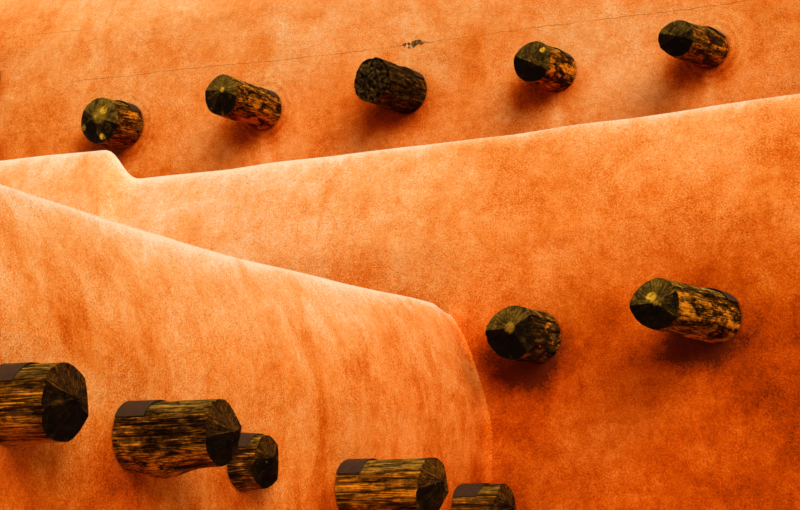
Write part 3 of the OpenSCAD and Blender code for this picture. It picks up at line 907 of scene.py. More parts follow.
def corner_run(corner, before, after, count):
    """Stations round a building's corner: an outer arc and a small cove inside, each about its own
    centre, with slanted stations between the arcs and the straight walls."""
    out_before, out_after = right_of(before), right_of(after)
    start = math.atan2(out_before[1], out_before[0])
    angle = start + np.linspace(0.0, math.pi / 2, count)
    turn = joined(np.cos(angle), np.sin(angle))
    outer = corner - CORNER_RADIUS * (out_before + out_after) + CORNER_RADIUS * turn
    inner = corner - (WALL + COVE_RADIUS) * (out_before + out_after) + COVE_RADIUS * turn
    fan = np.hstack([outer, inner])
    lead_in = np.concatenate([corner - TURN * before, corner - TURN * before - WALL * out_before])
    lead_out = np.concatenate([corner + TURN * after, corner + TURN * after - WALL * out_after])
    share = np.linspace(0.0, 1.0, 6)[:-1, None]
    ahead = lead_in + (fan[0] - lead_in) * share
    behind = (lead_out + (fan[-1] - lead_out) * share)[::-1]
    return np.vstack([ahead, fan, behind])


def join_runs(*runs):
    """One path from several runs, without the stations that repeat."""
    path = np.vstack(runs)
    step = np.abs(np.diff(path, axis=0)).max(axis=1)
    return path[np.concatenate([[True], step > 1e-5])]


def crown_across(angle):
    """Place of a crown point across the wall, 0 outside and 1 inside."""
    c = np.cos(angle)
    return 0.5 * (1.0 - np.sign(c) * np.abs(c) ** (2.0 / SHOULDER_POWER))


def crown_drop(angle):
    """Drop of a crown point below the crest, along a superellipse."""
    return SHOULDER * (1.0 - np.abs(np.sin(angle)) ** (2.0 / SHOULDER_POWER))


class Opening:
    """A hole through a straight outer face: its middle, the direction of the wall, its rectangles as
    (half width, foot, head), and whether the plaster is rounded round it."""

    def __init__(self, middle, direction, rectangles, rounded=True):
        self.middle = np.asarray(middle, float)
        self.direction = direction
        self.rectangles = rectangles
        self.rounded = rounded

    def along(self, outer):
        """Distance of outer points along the wall from the opening's middle, huge on other walls."""
        off = outer - self.middle
        away = np.abs(off @ right_of(self.direction))
        return np.where(away < 0.2, off @ self.direction, 1e3)

    def gap(self, along, z):
        """Distance outside the opening, to the nearest of its rectangles."""
        gaps = []
        for half, foot, head in self.rectangles:
            beside = np.maximum(np.abs(along) - half, 0.0)
            beyond = np.maximum(np.maximum(foot - z, z - head), 0.0)
            gaps.append(np.hypot(beside, beyond))
        return np.minimum.reduce(gaps)

    def holds(self, along, z):
        """Whether places lie inside one of its rectangles."""
        return np.logical_or.reduce([
            (np.abs(along) < half) & (z > foot) & (z < head) for half, foot, head in self.rectangles])


def doorway(middle, direction):
    """The opening of a doorway with the seat of its lintel."""
    half = DOOR_WIDTH / 2.0
    return Opening(middle, direction, [
        (half, -1.0, DOOR_HEIGHT), (half + LINTEL_BEARING, DOOR_HEIGHT, DOOR_HEIGHT + LINTEL_HEIGHT)])


ROUNDING = np.array([0.0, 0.1, 0.3, 0.6, 1.0])


def door_places(middle, radius):
    """Stations along a wall at a doorway's edges and over its rounding."""
    half = DOOR_WIDTH / 2.0
    edges = [half, half + LINTEL_BEARING]
    outwards = np.concatenate([e + radius * ROUNDING for e in edges])
    return np.concatenate([middle - outwards, middle + outwards])


def door_rows(radius):
    """Heights at a doorway's head and lintel and over their rounding."""
    head = DOOR_HEIGHT + LINTEL_HEIGHT
    return np.concatenate([[DOOR_HEIGHT], DOOR_HEIGHT - radius * ROUNDING[1:], head + radius * ROUNDING])


def cove_places(radius):
    """Distances from a wall's end over the soft corner."""
    return radius * np.array([0.0, 0.03, 0.12, 0.27, 0.5, 0.75, 1.0])


def line_offset(value, place, knots):
    """Signed distance of a value from a polyline given as (place, value) knots, growing quickly
    past its ends."""
    places = np.array([k[0] for k in knots])
    values = np.array([k[1] for k in knots])
    order = np.argsort(places)
    places, values = places[order], values[order]
    offset = value - np.interp(place, places, values)
    past = np.maximum(places[0] - place, place - places[-1])
    fade = np.clip(1.0 - past / 0.25, 0.02, 1.0)
    return np.clip(offset / fade, -FAR_OFF, FAR_OFF)


def skin_rows(block, path, rows):
    """Crest of each station, and heights and places across the wall of its cross-section: up the
    outer face, over the crown and down the inner face. The last value marks the outer face."""
    low_rows, high_share = rows
    stations = len(path)
    top = block.crest(path[:, :2])
    shoulder = top - SHOULDER
    split = low_rows[-1]
    angles = np.linspace(0.0, math.pi, block.crown_count)[1:]
    inner_share = np.array([0.66, 0.33])
    face_rows = len(low_rows) + len(high_share) - 1

    def full(values):
        return np.broadcast_to(values, (stations, len(values)))

    z = np.hstack([
        full(low_rows),
        split + (shoulder[:, None] - split) * high_share[None, 1:],
        top[:, None] - crown_drop(angles)[None, :],
        split + (shoulder[:, None] - split) * inner_share[None, :],
        full(low_rows[::-1])])
    across = np.hstack([
        full(np.zeros(face_rows)),
        full(crown_across(angles)),
        full(np.ones(len(inner_share) + len(low_rows)))])
    is_outer = np.arange(z.shape[1])[None, :] < face_rows
    return top, z, across, is_outer


def plain_skin(block, path, z, across, is_outer):
    """Points of the walls as if they were laid without a wave, with the foot flared outwards."""
    outer, inner = path[:, :2], path[:, 2:]
    flare = FOOT_FLARE * block.foot(outer)[:, None] * np.clip(1.0 - z / FOOT_HEIGHT, 0.0, 1.0) ** 2
    width = np.linalg.norm(inner - outer, axis=1)[:, None]
    inwards = (inner - outer) / width
    offset = across * width - flare * is_outer
    flat = outer[:, None, :] + inwards[:, None, :] * offset[:, :, None]
    return np.dstack([flat, z])


def skin_normals(points, closed):
    """Unit normals of a grid of points, from its tangents along the path and up the section."""
    looped = np.concatenate([points[-1:], points, points[:1]])
    along = np.gradient(looped, axis=0)[1:-1] if closed else np.gradient(points, axis=0)
    normal = np.cross(along, np.gradient(points, axis=1))
    return normal / np.maximum(np.linalg.norm(normal, axis=2), 1e-12)[:, :, None]


def hand_relief(block, settings, outer, points, top, across, openings):
    """How far the plaster stands out: broad waves, a soft corner at the block behind, and a
    rounding that falls back at a doorway."""
    z = points[..., 2]
    waves = noise(points, 1.3, block.seed) + 0.55 * noise(points, 0.42, block.seed + 1)
    waves = waves + 0.2 * noise(points, 0.16, block.seed + 2)
    move = settings.undulation * waves
    radius = settings.cove
    for face in block.cove_faces:
        away = np.clip(np.abs(face - outer[:, 1]), 0.0, radius)
        rise = radius - np.sqrt(np.maximum(radius ** 2 - (radius - away) ** 2, 0.0))
        fade = np.clip((top[:, None] - z) / SHOULDER, 0.0, 1.0) ** 0.7
        move = move + np.where(outer[:, 1] > face, radius, rise)[:, None] * fade
    gap = np.full(z.shape, FAR_OFF)
    for opening in openings:
        if opening.rounded:
            gap = np.minimum(gap, opening.gap(opening.along(outer)[:, None], z))
    edge = settings.edge_radius
    inset = edge - np.sqrt(np.maximum(edge ** 2 - np.clip(edge - gap, 0.0, edge) ** 2, 0.0))
    on_face = across * (1.0 - across) == 0.0
    return move * np.clip(gap / 0.1, 0.0, 1.0) - inset * on_face


def log_marks(logs, points, is_outer):
    """How far the plaster swells at the logs, and the marks that they leave on it: the distance
    from the nearest root, trowelled rings, drips below, and a painted shadow with some dirt, to one side or
    all round."""
    root_gap = np.full(points.shape[:2], FAR_OFF)
    swell = np.zeros(points.shape[:2])
    rings = np.zeros(points.shape[:2])
    drip = np.zeros(points.shape[:2])
    soot = np.zeros(points.shape[:2])
    facing = {"east": points[..., 0], "south": -points[..., 1]}
    for log in logs:
        side, height = log.across(points)
        off = np.hypot(side, height) - log.root
        outside = is_outer & (np.abs(facing[log.axis] - log.wall) < 0.3)
        near = outside & (off < 0.6)
        root_gap = np.where(near, np.minimum(root_gap, off), root_gap)
        fall_off = np.exp(-((off - 0.05) / 0.085) ** 2)
        rings = np.where(near, np.maximum(rings, log.rings * fall_off), rings)
        collar = 0.007 * log.rings * fall_off + 0.004 * np.exp(-(off / 0.05) ** 2)
        swell = swell + np.where(near, collar, 0.0)
        streak = np.exp(-((side - 0.02 * np.sin(height * 9.0)) / 0.045) ** 2)
        streak = streak * ramp((-height - log.root * 0.6) / 0.08) * ramp((0.75 + height) / 0.5)
        drip = np.where(outside, np.maximum(drip, log.drip * streak), drip)
        # Painted shadow of the log with some dirt: a halo round and below the root, pushed west on south
        # walls
        lean = -0.75 if log.axis == "south" else 0.0
        from_patch = np.hypot((side - lean * log.root) / 1.35, (height + 0.1) / 0.8)
        halo = np.exp(-(from_patch / (log.root * 1.4)) ** 3)
        soot = np.where(outside, np.maximum(soot, log.soot * halo), soot)
    return swell, {"root_gap": root_gap, "rings": rings, "drip": drip, "soot": soot}


def skin_faces(outer, z, is_outer, closed, low_count, openings):
    """Faces of the skin: the grid's quads less those in the openings, the jambs, heads and seats
    between the two faces of the wall, and a cap at each end of an open path."""
    stations, cols = z.shape
    spans = stations if closed else stations - 1
    i = np.arange(spans)[:, None]
    j = np.arange(cols)[None, :]
    i_next, j_next = (i + 1) % stations, (j + 1) % cols
    corners = np.stack(np.broadcast_arrays(
        i * cols + j, i_next * cols + j, i_next * cols + j_next, i * cols + j_next), axis=-1)
    middle_z = (z[i, j] + z[i, j_next]) / 2.0
    is_open = np.zeros((spans, cols), bool)
    for opening in openings:
        place = opening.along(outer)
        middle = ((place[i[:, 0]] + place[i_next[:, 0]]) / 2.0)[:, None]
        is_open |= opening.holds(middle, middle_z) & (is_outer | (j >= cols - low_count))
    polygons = [corners[~is_open]]

    faces = []
    for k in range(low_count):
        # Jambs stand where an open stretch of the face meets a whole one
        if k + 1 < low_count:
            state = is_open[:, k]
            for s in np.nonzero(state[1:] != state[:-1])[0] + 1:
                quad = [s * cols + k, s * cols + k + 1, s * cols + cols - 2 - k, s * cols + cols - 1 - k]
                faces.append(quad[::-1] if state[s] else quad)
        # Heads and seats lie where the state changes between two rows
        if 0 < k:
            below = is_open[:, k - 1]
            above = is_open[:, k] if k + 1 < low_count else np.zeros(spans, bool)
            for s in np.nonzero(below != above)[0]:
                t = (s + 1) % stations
                quad = [s * cols + k, t * cols + k, t * cols + cols - 1 - k, s * cols + cols - 1 - k]
                faces.append(quad if above[s] else quad[::-1])
    if faces:
        polygons.append(np.array(faces))
    if not closed:
        ring = np.arange(cols)
        polygons.append(ring[None, :])
        polygons.append(((stations - 1) * cols + ring)[None, ::-1])
    return polygons


MARK_NAMES = ("hairline", "second_hairline", "fold_shade", "hole")


def wall_skin(block, settings, path, rows, openings):
    """Hollow block of plaster: one cross-section per station of the path, moved along the surface's
    normal by the waves, soft corners, rounded doorways and the swelling round the logs."""
    outer = path[:, :2]
    top, z, across, is_outer = skin_rows(block, path, rows)
    plain = plain_skin(block, path, z, across, is_outer)
    swell, marks = log_marks(block.logs, plain, is_outer)
    move = hand_relief(block, settings, outer, plain, top, across, openings) + swell
    points = plain + skin_normals(plain, block.closed) * move[:, :, None]
    points[:, 0, 2] = 0.0
    points[:, -1, 2] = 0.0
    points = keep_in_box(points)

    tone = block.tone(points, top[:, None] - z, is_outer | (across < 1.0))
    marks["tone"] = np.clip(tone, -1.5, 1.5)
    marks["flames"] = np.full(z.shape, block.flames)
    for key in MARK_NAMES:
        values = block.marks[key](points) if key in block.marks else FAR_OFF
        marks[key] = np.where(is_outer | (across < 0.5), values, FAR_OFF)
    attributes = {key: values.ravel() for key, values in marks.items()}
    polygons = skin_faces(outer, z, is_outer, block.closed, len(rows[0]), openings)
    return points.reshape(-1, 3), polygons, attributes


# How far the hall's crest stands above its lowest height, at places east of the low wing's face
HALL_SAG_PLACES = [-3.4, -2.6, -1.9, -1.0, 0.1, 0.6, 1.6]
HALL_SAG = [0.038, 0.026, 0.018, 0.007, 0.014, 0.024, 0.044]


def block_crest_low(outer):
    """Low wing crest: it rises a little to the south and slumps into the inner corner."""
    from_corner = outer[:, 1] - LOW_NORTH
    wave = 0.006 * noise(np.column_stack([outer, 0 * outer[:, 0]]), 0.55, 71)
    slump = CORNER_SLUMP * ramp((from_corner + 0.2) / 0.2)
    return LOW_CREST + LOW_CREST_RISE * ramp((-1.7 - from_corner) / 2.4) + wave - slump


def block_crest_hall(outer):
    """Hall crest: a stepped parapet that sags a little between its ends."""
    x = outer[:, 0] - LOW_EAST
    wave = 0.005 * noise(np.column_stack([outer, 0 * x]), 0.45, 72)
    rise = HALL_STEP * ramp(ramp((-HALL_STEP_FROM_CORNER - x) / HALL_STEP_RUN + 0.5))
    sag = np.interp(x, HALL_SAG_PLACES, HALL_SAG)
    return HALL_CREST + rise + wave + sag


def block_crest_rear(outer):
    """Rear block crest: level but for one long low wave."""
    x = outer[:, 0] - LOW_EAST
    return REAR_CREST + 0.012 * np.sin(np.radians(x * 90.0 + 40.0)) - 0.008


def plain_tone(points, below_crest, shown):
    """Lightness of the plaster: a painted highlight along the crest and a painted lighter band below it,
    orange in the middle and damp at the foot.
    """
    z = points[..., 2]
    # Painted highlight: a thin bright line at the crest and a broad lighter band under it
    tone = 0.78 * np.exp(-below_crest / 0.035) + 0.47 * np.exp(-below_crest / 0.9) - 0.04
    tone = tone - 0.55 * ramp((0.9 - z) / 0.9)
    return np.where(shown, tone, -0.1)


def blotch(x, z, place, size):
    """Soft round patch: 1 at its place and fading over its size, both (along the wall, up)."""
    return np.exp(-((x - place[0]) / size[0]) ** 2 - ((z - place[1]) / size[1]) ** 2)


# Soft patches of the seen walls as (strength, place, size), along the wall and up from the ground
LOW_PATCHES = (
    (0.35, (-3.05, 3.12), (0.6, 0.14)),
    (-0.25, (-2.15, 2.52), (0.6, 0.16)),
)
HALL_PATCHES = (
    (0.26, (-3.1, HALL_CREST - 0.22), (0.8, 0.25)),
    (0.08, (-1.3, HALL_CREST - 0.25), (0.7, 0.25)),
    (0.4, (0.62, 2.83), (0.35, 0.2)),
    (-0.12, (0.8, 3.3), (0.4, 0.25)),
    (-0.25, (1.5, 3.2), (0.25, 0.25)),
)
REAR_PATCHES = (
    (0.36, (-2.6, 6.05), (0.75, 0.3)),
    (-0.35, (-6.0, 6.5), (0.5, 0.3)),
)


def patch_tone(x, z, patches):
    """Sum of soft round patches at places along the wall and up."""
    return sum(strength * blotch(x, z, place, size) for strength, place, size in patches)


def low_tone(points, below_crest, shown):
    """Low wing: a painted highlight on the crown, orange flank, painted shade towards the inner corner and
    in its cove, and burnt orange under the logs of the east wall.
    """
    tone = plain_tone(points, below_crest, shown)
    y, z = points[..., 1] - LOW_NORTH, points[..., 2]
    east = points[..., 0] > LOW_EAST - 0.25
    under = ramp((2.85 - z) / 0.4) * (0.5 + 0.5 * ramp((z - 1.3) / 0.8))
    corner = ramp((y + 1.1) / 1.0)
    top = np.exp(-below_crest / 0.3)
    cove = ramp((y + 0.3) / 0.3)
    # Painted highlight just under the crest, away from the cove
    pale = 0.12 * np.exp(-below_crest / 0.12) * (1.0 - cove)
    # Painted shade: darker towards the inner corner and in the cove, less so near the crest
    flank = 0.32 * corner * (1.0 - 0.7 * top) + 0.35 * cove * (1.0 - top) + 0.08 * (1.0 - top)
    return tone + east * (pale - 0.48 * under - flank - patch_tone(y, z, LOW_PATCHES))


def hall_tone(points, below_crest, shown):
    """Hall: peach at the top and to the west, burnt orange low and near the log ends."""
    tone = plain_tone(points, below_crest, shown)
    x, z = points[..., 0] - LOW_EAST, points[..., 2]
    south = points[..., 1] < HALL_SOUTH + 0.3
    west = ramp((-0.3 - x) / 1.8)
    east = ramp((x + 0.6) / 1.2)
    edge = 4.05 - 0.42 * np.exp(-((x + 0.05) / 0.4) ** 2)
    low = ramp((edge - z) / 0.6)
    deep = low * (0.55 + 0.45 * ramp((z - 1.6) / 1.0))
    side = 0.14 * west * (1.0 - low) - 0.26 * east * (1.0 - low) - 0.72 * deep * (1.0 - west)
    return tone + south * (side + patch_tone(x, z, HALL_PATCHES))


def rear_tone(points, below_crest, shown):
    """Rear block: even orange with a paler band to the upper west and a damp foot over the hall."""
    tone = plain_tone(points, below_crest, shown)
    x, z = points[..., 0] - LOW_EAST, points[..., 2]
    south = points[..., 1] < REAR_SOUTH + 0.3
    pale = ramp((-1.6 - x) / 3.0) * ramp((z - 5.7) / 0.5)
    damp = ramp((-2.6 - x) / 2.0) * ramp((5.5 - z) / 0.6)
    east = ramp((x + 1.0) / 1.0)
    side = 0.08 * pale - 0.38 * damp - 0.08 * east - 0.05
    return tone + south * (side + patch_tone(x, z, REAR_PATCHES))


def on_rear(knots):
    """Rule for a hairline of the rear wall, as knots of (distance east of the inner corner, height)."""
    return lambda p: line_offset(p[..., 2], p[..., 0] - LOW_EAST, knots)


def on_hall(*lines):
    """Rule for the painted shade along folds of the hall's wall: distance from the nearest of steep
    lines of (height, distance east of the inner corner) knots."""
    return lambda p: np.minimum.reduce([
        np.abs(line_offset(p[..., 0] - LOW_EAST, p[..., 2], knots)) for knots in lines])


LONG_HAIRLINE = (
    (-5.17, 6.052), (-4.75, 6.032), (-4.38, 6.025), (-3.96, 6.005), (-3.48, 5.982), (-3.02, 5.962),
    (-2.68, 5.955), (-2.52, 5.947), (-2.31, 5.95), (-2.11, 5.944), (-1.25, 5.934), (-0.52, 5.915),
    (-0.09, 5.902), (0.38, 5.906))
UPPER_HAIRLINE = ((-6.04, 6.506), (-5.63, 6.491), (-5.25, 6.463))
LOWER_HAIRLINE = ((-6.01, 5.709), (-5.85, 5.689), (-5.8, 5.71), (-5.6, 5.692), (-5.21, 5.686))
HOLE_PLACE = (-2.23, 5.95)
HOLE_SIZE = (0.13, 0.034)


def nearer_faint_line(points):
    """Distance above the nearer of the two faint hairlines of the rear wall."""
    upper, lower = on_rear(UPPER_HAIRLINE)(points), on_rear(LOWER_HAIRLINE)(points)
    return np.where(np.abs(upper) < np.abs(lower), upper, lower)


def hole_gap(points):
    """Distance, as a share of its size, from the ragged hole by the rear wall's long hairline."""
    x, z = points[..., 0] - LOW_EAST - HOLE_PLACE[0], points[..., 2] - HOLE_PLACE[1]
    return np.hypot(x / HOLE_SIZE[0], (z - 0.05 * x) / HOLE_SIZE[1])


def whole_foot(outer):
    """A battered foot all round."""
    return np.ones(len(outer))


def foot_beside(x, west, east):
    """A battered foot that ends where another block stands between west and east."""
    return np.minimum(ramp((x - east - FOOT_FLARE) / 0.3) + ramp((west - FOOT_FLARE - x) / 0.3), 1.0)


def hall_foot(outer):
    """A battered foot except along the low wing."""
    return foot_beside(outer[:, 0], LOW_WEST, LOW_EAST)


def rear_foot(outer):
    """A battered foot except along the hall."""
    beside = foot_beside(outer[:, 0], HALL_WEST, HALL_EAST)
    return np.where(outer[:, 1] > REAR_SOUTH + CORNER_RADIUS, 1.0, beside)


@dataclass
class Block:
    """What sets one block's plaster apart, with rules for its crest, foot, tone and marks."""

    skin: str
    nodes: list
    logs: list
    crest: object
    foot: object
    tone: object
    marks: dict
    crown_count: int
    closed: bool = False
    cove_faces: tuple = ()
    flames: float = 0.3
    seed: int = 1


HALL_FOLDS = (
    ((4.62, -2.72), (4.45, -2.62), (4.3, -2.53)),
    ((4.44, -0.92), (4.32, -1.0), (4.18, -1.02)),
)
BLOCKS = {
    "low": Block(
        "low_wing_plaster",
        ["low_east_wall", "low_west_wall", "low_south_wall_west", "low_south_wall_east",
         "low_wall_over_door"],
        LOGS["low"], block_crest_low, whole_foot, low_tone, {}, 44,
        cove_faces=(LOW_NORTH,), flames=1.0, seed=1),
    "hall": Block(
        "hall_plaster",
        ["hall_south_wall", "hall_west_wall", "hall_east_wall_south", "hall_east_wall_north",
         "hall_wall_over_door"],
        LOGS["hall"], block_crest_hall, hall_foot, hall_tone, {"fold_shade": on_hall(*HALL_FOLDS)}, 44,
        cove_faces=(HALL_NORTH,), seed=5),
    "rear": Block(
        "rear_plaster",
        ["rear_south_wall", "rear_west_wall", "rear_north_wall", "rear_east_wall_south",
         "rear_east_wall_north", "rear_wall_over_door"],
        LOGS["rear"] + [SPOUT_ROOT], block_crest_rear, rear_foot, rear_tone,
        {"hairline": on_rear(LONG_HAIRLINE), "second_hairline": nearer_faint_line, "hole": hole_gap},
        26, closed=True, seed=9),
}


# Materials


def plaster_material(settings, clouding, grit):
    """Hand-laid mud plaster: mottled bands from pale to burnt, tall burnt patches, specks, hairlines,
    a ragged hole and sandy grit, with a painted highlight on the crests, painted log shadows, and
    painted shade along folds, round log roots and inside the hole."""
    material, shader, surface = new_material("ochre_plaster", roughness=1.0, specular=0.02)
    own = partial(colour_of, settings)
    place = shader.add("ShaderNodeTexCoord").outputs["Object"]
    elsewhere = shader.shift(place, (7.3, 2.1, 4.4))
    clouds = shader.effect(clouding, Vector=place, Size=0.9, Contrast=2.1)["Mask"]
    patches = shader.effect(clouding, Vector=elsewhere, Size=0.26, Contrast=3.4)["Mask"]
    flames = shader.noise(shader.stretch(place, (6.5, 6.5, 1.5)), 1.0, 5.0, 0.62, 0.2)
    flames = shader.times(shader.remap(flames, 0.42, 0.7), shader.attribute("flames"))
    mottle = shader.noise(place, 26.0, 6.0, 0.72, 0.4)
    grain = shader.noise(shader.stretch(place, (1.0, 1.0, 1.7)), 120.0, 3.0, 0.7, 0.5)
    sandy = shader.effect(grit, Vector=place, Grain=0.009)
    tone = shader.attribute("tone")
    soot = shader.attribute("soot")
    gap = shader.attribute("root_gap")
    rough = shader.times(shader.remap(tone, -0.7, 0.1, 0.5, 1.0),
                         shader.remap(shader.noise(place, 4.0, 3.0), 0.36, 0.62, 0.6, 1.2))
    grain_strength = shader.times(rough, 0.8)

    level = shader.maths("MULTIPLY_ADD", tone, 0.42, 0.5)
    for value, strength in ((clouds, 0.41), (patches, 0.15), (mottle, 0.25), (grain, grain_strength),
                            (sandy["Height"], 0.45)):
        level = shader.shade(level, value, strength)
    level = shader.shade(level, flames, -0.1, 0.3)
    # Painted shadow of the logs with some dirt: darker plaster
    level = shader.plus(level, soot, -0.46)
    level = shader.plus(level, shader.attribute("drip"), 0.2)
    wobble = shader.times(shader.noise(place, 9.0, 3.0), 9.0)
    ring_wave = shader.maths("SINE", shader.maths("MULTIPLY_ADD", gap, 118.0, wobble))
    ring_share = shader.times(ring_wave, shader.attribute("rings"))
    level = shader.plus(level, ring_share, 0.04)
    # Painted shade along the folds of the hall's plaster
    fold_shade = shader.remap(shader.attribute("fold_shade"), 0.0, 0.045, 1.0, 0.0)
    level = shader.plus(level, fold_shade, -0.09)
    level = shader.maths("MULTIPLY_ADD", level, 0.75, 0.25)
    # The ramp's pale top is the painted highlight of the crests
    base = shader.colours(level, [
        (0.0, linear(48, 8, 0)), (0.25, own("dark")), (0.42, own("burnt")), (0.52, linear(220, 94, 8)),
        (0.63, own("orange")), (0.79, own("peach")), (1.0, own("pale"))])
    base = shader.mix(shader.times(sandy["Specks"], 0.6), base, own("dark"))
    # Purple-brown tint of the painted log shadows
    base = shader.mix(shader.times(soot, 0.2), base, own("shadow"))

    ragged = shader.maths("MULTIPLY_ADD", shader.noise(place, 16.0, 4.0), 0.03, -0.015)

    def hairline(name, strength):
        off = shader.maths("ABSOLUTE", shader.maths("ADD", shader.attribute(name), ragged))
        return shader.times(shader.remap(off, 0.001, 0.0045, 1.0, 0.0), strength)

    lines = shader.maths("MAXIMUM", hairline("hairline", 0.42), hairline("second_hairline", 0.3))
    faded = shader.remap(shader.noise(place, 3.0, 3.0), 0.36, 0.56, 0.45, 1.0)
    lines = shader.times(lines, faded)
    base = shader.mix(lines, base, linear(120, 40, 8))
    # Painted shade in the gap round each log root
    rim = shader.remap(gap, 0.0, 0.014, 0.6, 0.0)
    base = shader.mix(rim, base, own("dark"))
    # The ragged hole is painted: painted shade inside it, with paler patches of painted light
    torn = shader.plus(shader.attribute("hole"), shader.noise(place, 22.0, 5.0, 0.7), 2.4)
    broken = shader.remap(torn, 1.75, 1.95, 1.0, 0.0)
    inside = shader.mix(shader.remap(grain, 0.42, 0.6), linear(26, 14, 4), linear(150, 112, 50))
    base = shader.mix(broken, base, inside)

    trowel = shader.noise(shader.stretch(place, (9.0, 9.0, 13.0)), 1.0, 4.0, 0.55, 0.8)
    height = shader.add_up(
        (sandy["Height"], 0.006), (grain, 0.0034), (mottle, 0.005), (trowel, 0.012), (lines, -0.004),
        (broken, -0.012), (ring_share, 0.0012))
    shader.cover(surface, base, height, 0.85)
    return material


def log_material(settings, fibre, clouding):
    """Debarked log: silvered fibre with a painted highlight on top, glowing golden patches on the flank,
    a red-brown underside of painted orange bounce light, dark checks, and ringed axe-cut ends whose
    facets carry painted light and shade from olive to black, with painted grey glints near the tip."""
    material, shader, surface = new_material("weathered_viga", specular=0.02)
    own = partial(colour_of, settings)
    grain = shader.attribute("grain", "Vector")
    section = shader.attribute("section", "Vector")
    high = shader.attribute("high")
    black = own("black")
    wood = shader.effect(fibre, Vector=grain, Fineness=1.0)
    fine_wood = shader.effect(fibre, Vector=grain, Fineness=2.2)
    mottle = shader.noise(grain, 42.0, 5.0, 0.7)
    drawn_out = shader.stretch(grain, (1.0, 2.4, 2.4))
    patch = shader.effect(clouding, Vector=drawn_out, Size=0.15, Contrast=3.2)["Mask"]
    patch = shader.times(shader.maths("SUBTRACT", patch, 0.5), shader.attribute("glow"))
    level = shader.add_up((wood["Bands"], 0.56), (wood["Fibres"], 0.34))
    level = shader.shade(level, fine_wood["Fibres"], 0.4, 0.4)
    level = shader.plus(level, mottle, 0.44)
    level = shader.maths("ADD", patch, level)
    # Bands of painted shade round the log, and a little darker overall
    level = shader.maths("SUBTRACT", level, shader.maths("ADD", shader.attribute("shade_band"), 0.17))
    flank = shader.colours(level, [
        (0.24, black), (0.38, linear(66, 34, 4)), (0.55, own("brown")), (0.76, own("golden"))])
    # The top carries silvered fibre and a painted highlight, the underside painted orange bounce light
    top = shader.colours(level, [
        (0.24, black), (0.38, linear(78, 52, 10)), (0.54, linear(140, 96, 24)), (0.74, own("silver"))])
    under = shader.colours(level, [(0.26, black), (0.45, linear(84, 30, 2)), (0.72, own("underside_bounce"))])
    side = shader.mix(shader.remap(high, 0.35, 0.75), flank, top)
    side = shader.mix(shader.remap(high, -0.3, -0.85, 0.0, 0.9), side, under)
    bark_noise = shader.noise(shader.stretch(grain, (14.0, 40.0, 40.0)), 1.0, 4.0)
    bark_colour = shader.colours(bark_noise, [
        (0.4, black), (0.56, linear(60, 40, 12)), (0.7, linear(112, 82, 30))])
    bark = shader.times(shader.attribute("bark"), shader.remap(patch, -0.04, 0.26, 1.0, 0.2))
    side = shader.mix(bark, side, bark_colour)
    marks = shader.maths("MAXIMUM", wood["Checks"], shader.attribute("crack"))
    marks = shader.maths("MAXIMUM", marks, shader.times(fine_wood["Checks"], 0.85))
    side = shader.mix(marks, side, black)

    parts = shader.add("ShaderNodeSeparateXYZ", {"Vector": section}).outputs
    angle = shader.maths("ARCTAN2", parts["Y"], parts["X"])
    length = shader.add("ShaderNodeVectorMath", {"Vector": section}, operation="LENGTH")
    distance = length.outputs["Value"]
    warp = shader.times(shader.noise(grain, 14.0, 3.0), 12.0)
    rings = shader.maths("SINE", shader.maths("MULTIPLY_ADD", distance, 620.0, warp))
    ray_place = shader.add("ShaderNodeCombineXYZ", {
        "X": shader.maths("COSINE", angle), "Y": shader.maths("SINE", angle),
        "Z": shader.times(distance, 2.0)}).outputs[0]
    rays = shader.noise(ray_place, 4.5, 4.0, 0.7)
    from_ray = shader.maths("ABSOLUTE", shader.maths("SUBTRACT", rays, 0.5))
    ray_lines = shader.remap(from_ray, 0.0, 0.045, 1.0, 0.0)
    worn = shader.noise(grain, 15.0, 4.0, 0.6)
    # Painted light and shade of the end's facets: black where a facet faces down, olive or umber where it
    # faces up
    light = shader.attribute("facet")
    for value, strength in ((mottle, 1.1), (worn, 1.3), (rays, 0.8)):
        light = shader.shade(light, value, strength)
    light = shader.plus(light, rings, 0.045)
    olive_end = shader.colours(light, [
        (0.06, linear(12, 5, 1)), (0.4, linear(30, 18, 4)), (0.66, linear(78, 54, 12)), (1.0, own("olive"))])
    umber_end = shader.colours(light, [
        (0.08, linear(16, 6, 1)), (0.38, linear(36, 18, 3)), (0.64, linear(74, 41, 7)), (1.0, own("umber"))])
    end = shader.mix(shader.attribute("olive"), umber_end, olive_end)
    end = shader.mix(shader.times(ray_lines, 0.7), end, black)
    # Painted grey glints near the tip of the end
    painted_glints = shader.remap(shader.noise(grain, 90.0, 3.0, 0.6), 0.66, 0.72)
    painted_glints = shader.times(painted_glints, shader.remap(distance, 0.02, 0.09, 0.5, 0.0))
    end = shader.mix(painted_glints, end, linear(150, 128, 84))
    heart = shader.times(shader.attribute("heart"), shader.remap(mottle, 0.38, 0.53, 0.2, 1.1))
    end = shader.mix(shader.maths("MINIMUM", heart, 1.0), end, own("heart"))
    end = shader.mix(shader.remap(shader.attribute("bark"), 0.93, 0.97), end, bark_colour)
    on_end = shader.remap(shader.attribute("on_end"), 0.3, 0.7)
    shader.feed(surface.inputs["Roughness"], shader.remap(mottle, 0.3, 0.7, 0.55, 0.85))

    side_height = shader.add_up(
        (wood["Fibres"], 0.004), (wood["Bands"], 0.01), (wood["Checks"], -0.007),
        (bark_noise, shader.times(bark, 0.02)))
    end_height = shader.add_up((mottle, 0.012), (ray_lines, -0.005))
    on_side = shader.maths("SUBTRACT", 1.0, on_end)
    both = shader.add_up((side_height, on_side), (end_height, on_end))
    shader.cover(surface, shader.mix(on_end, side, end), both, 0.9)
    return material


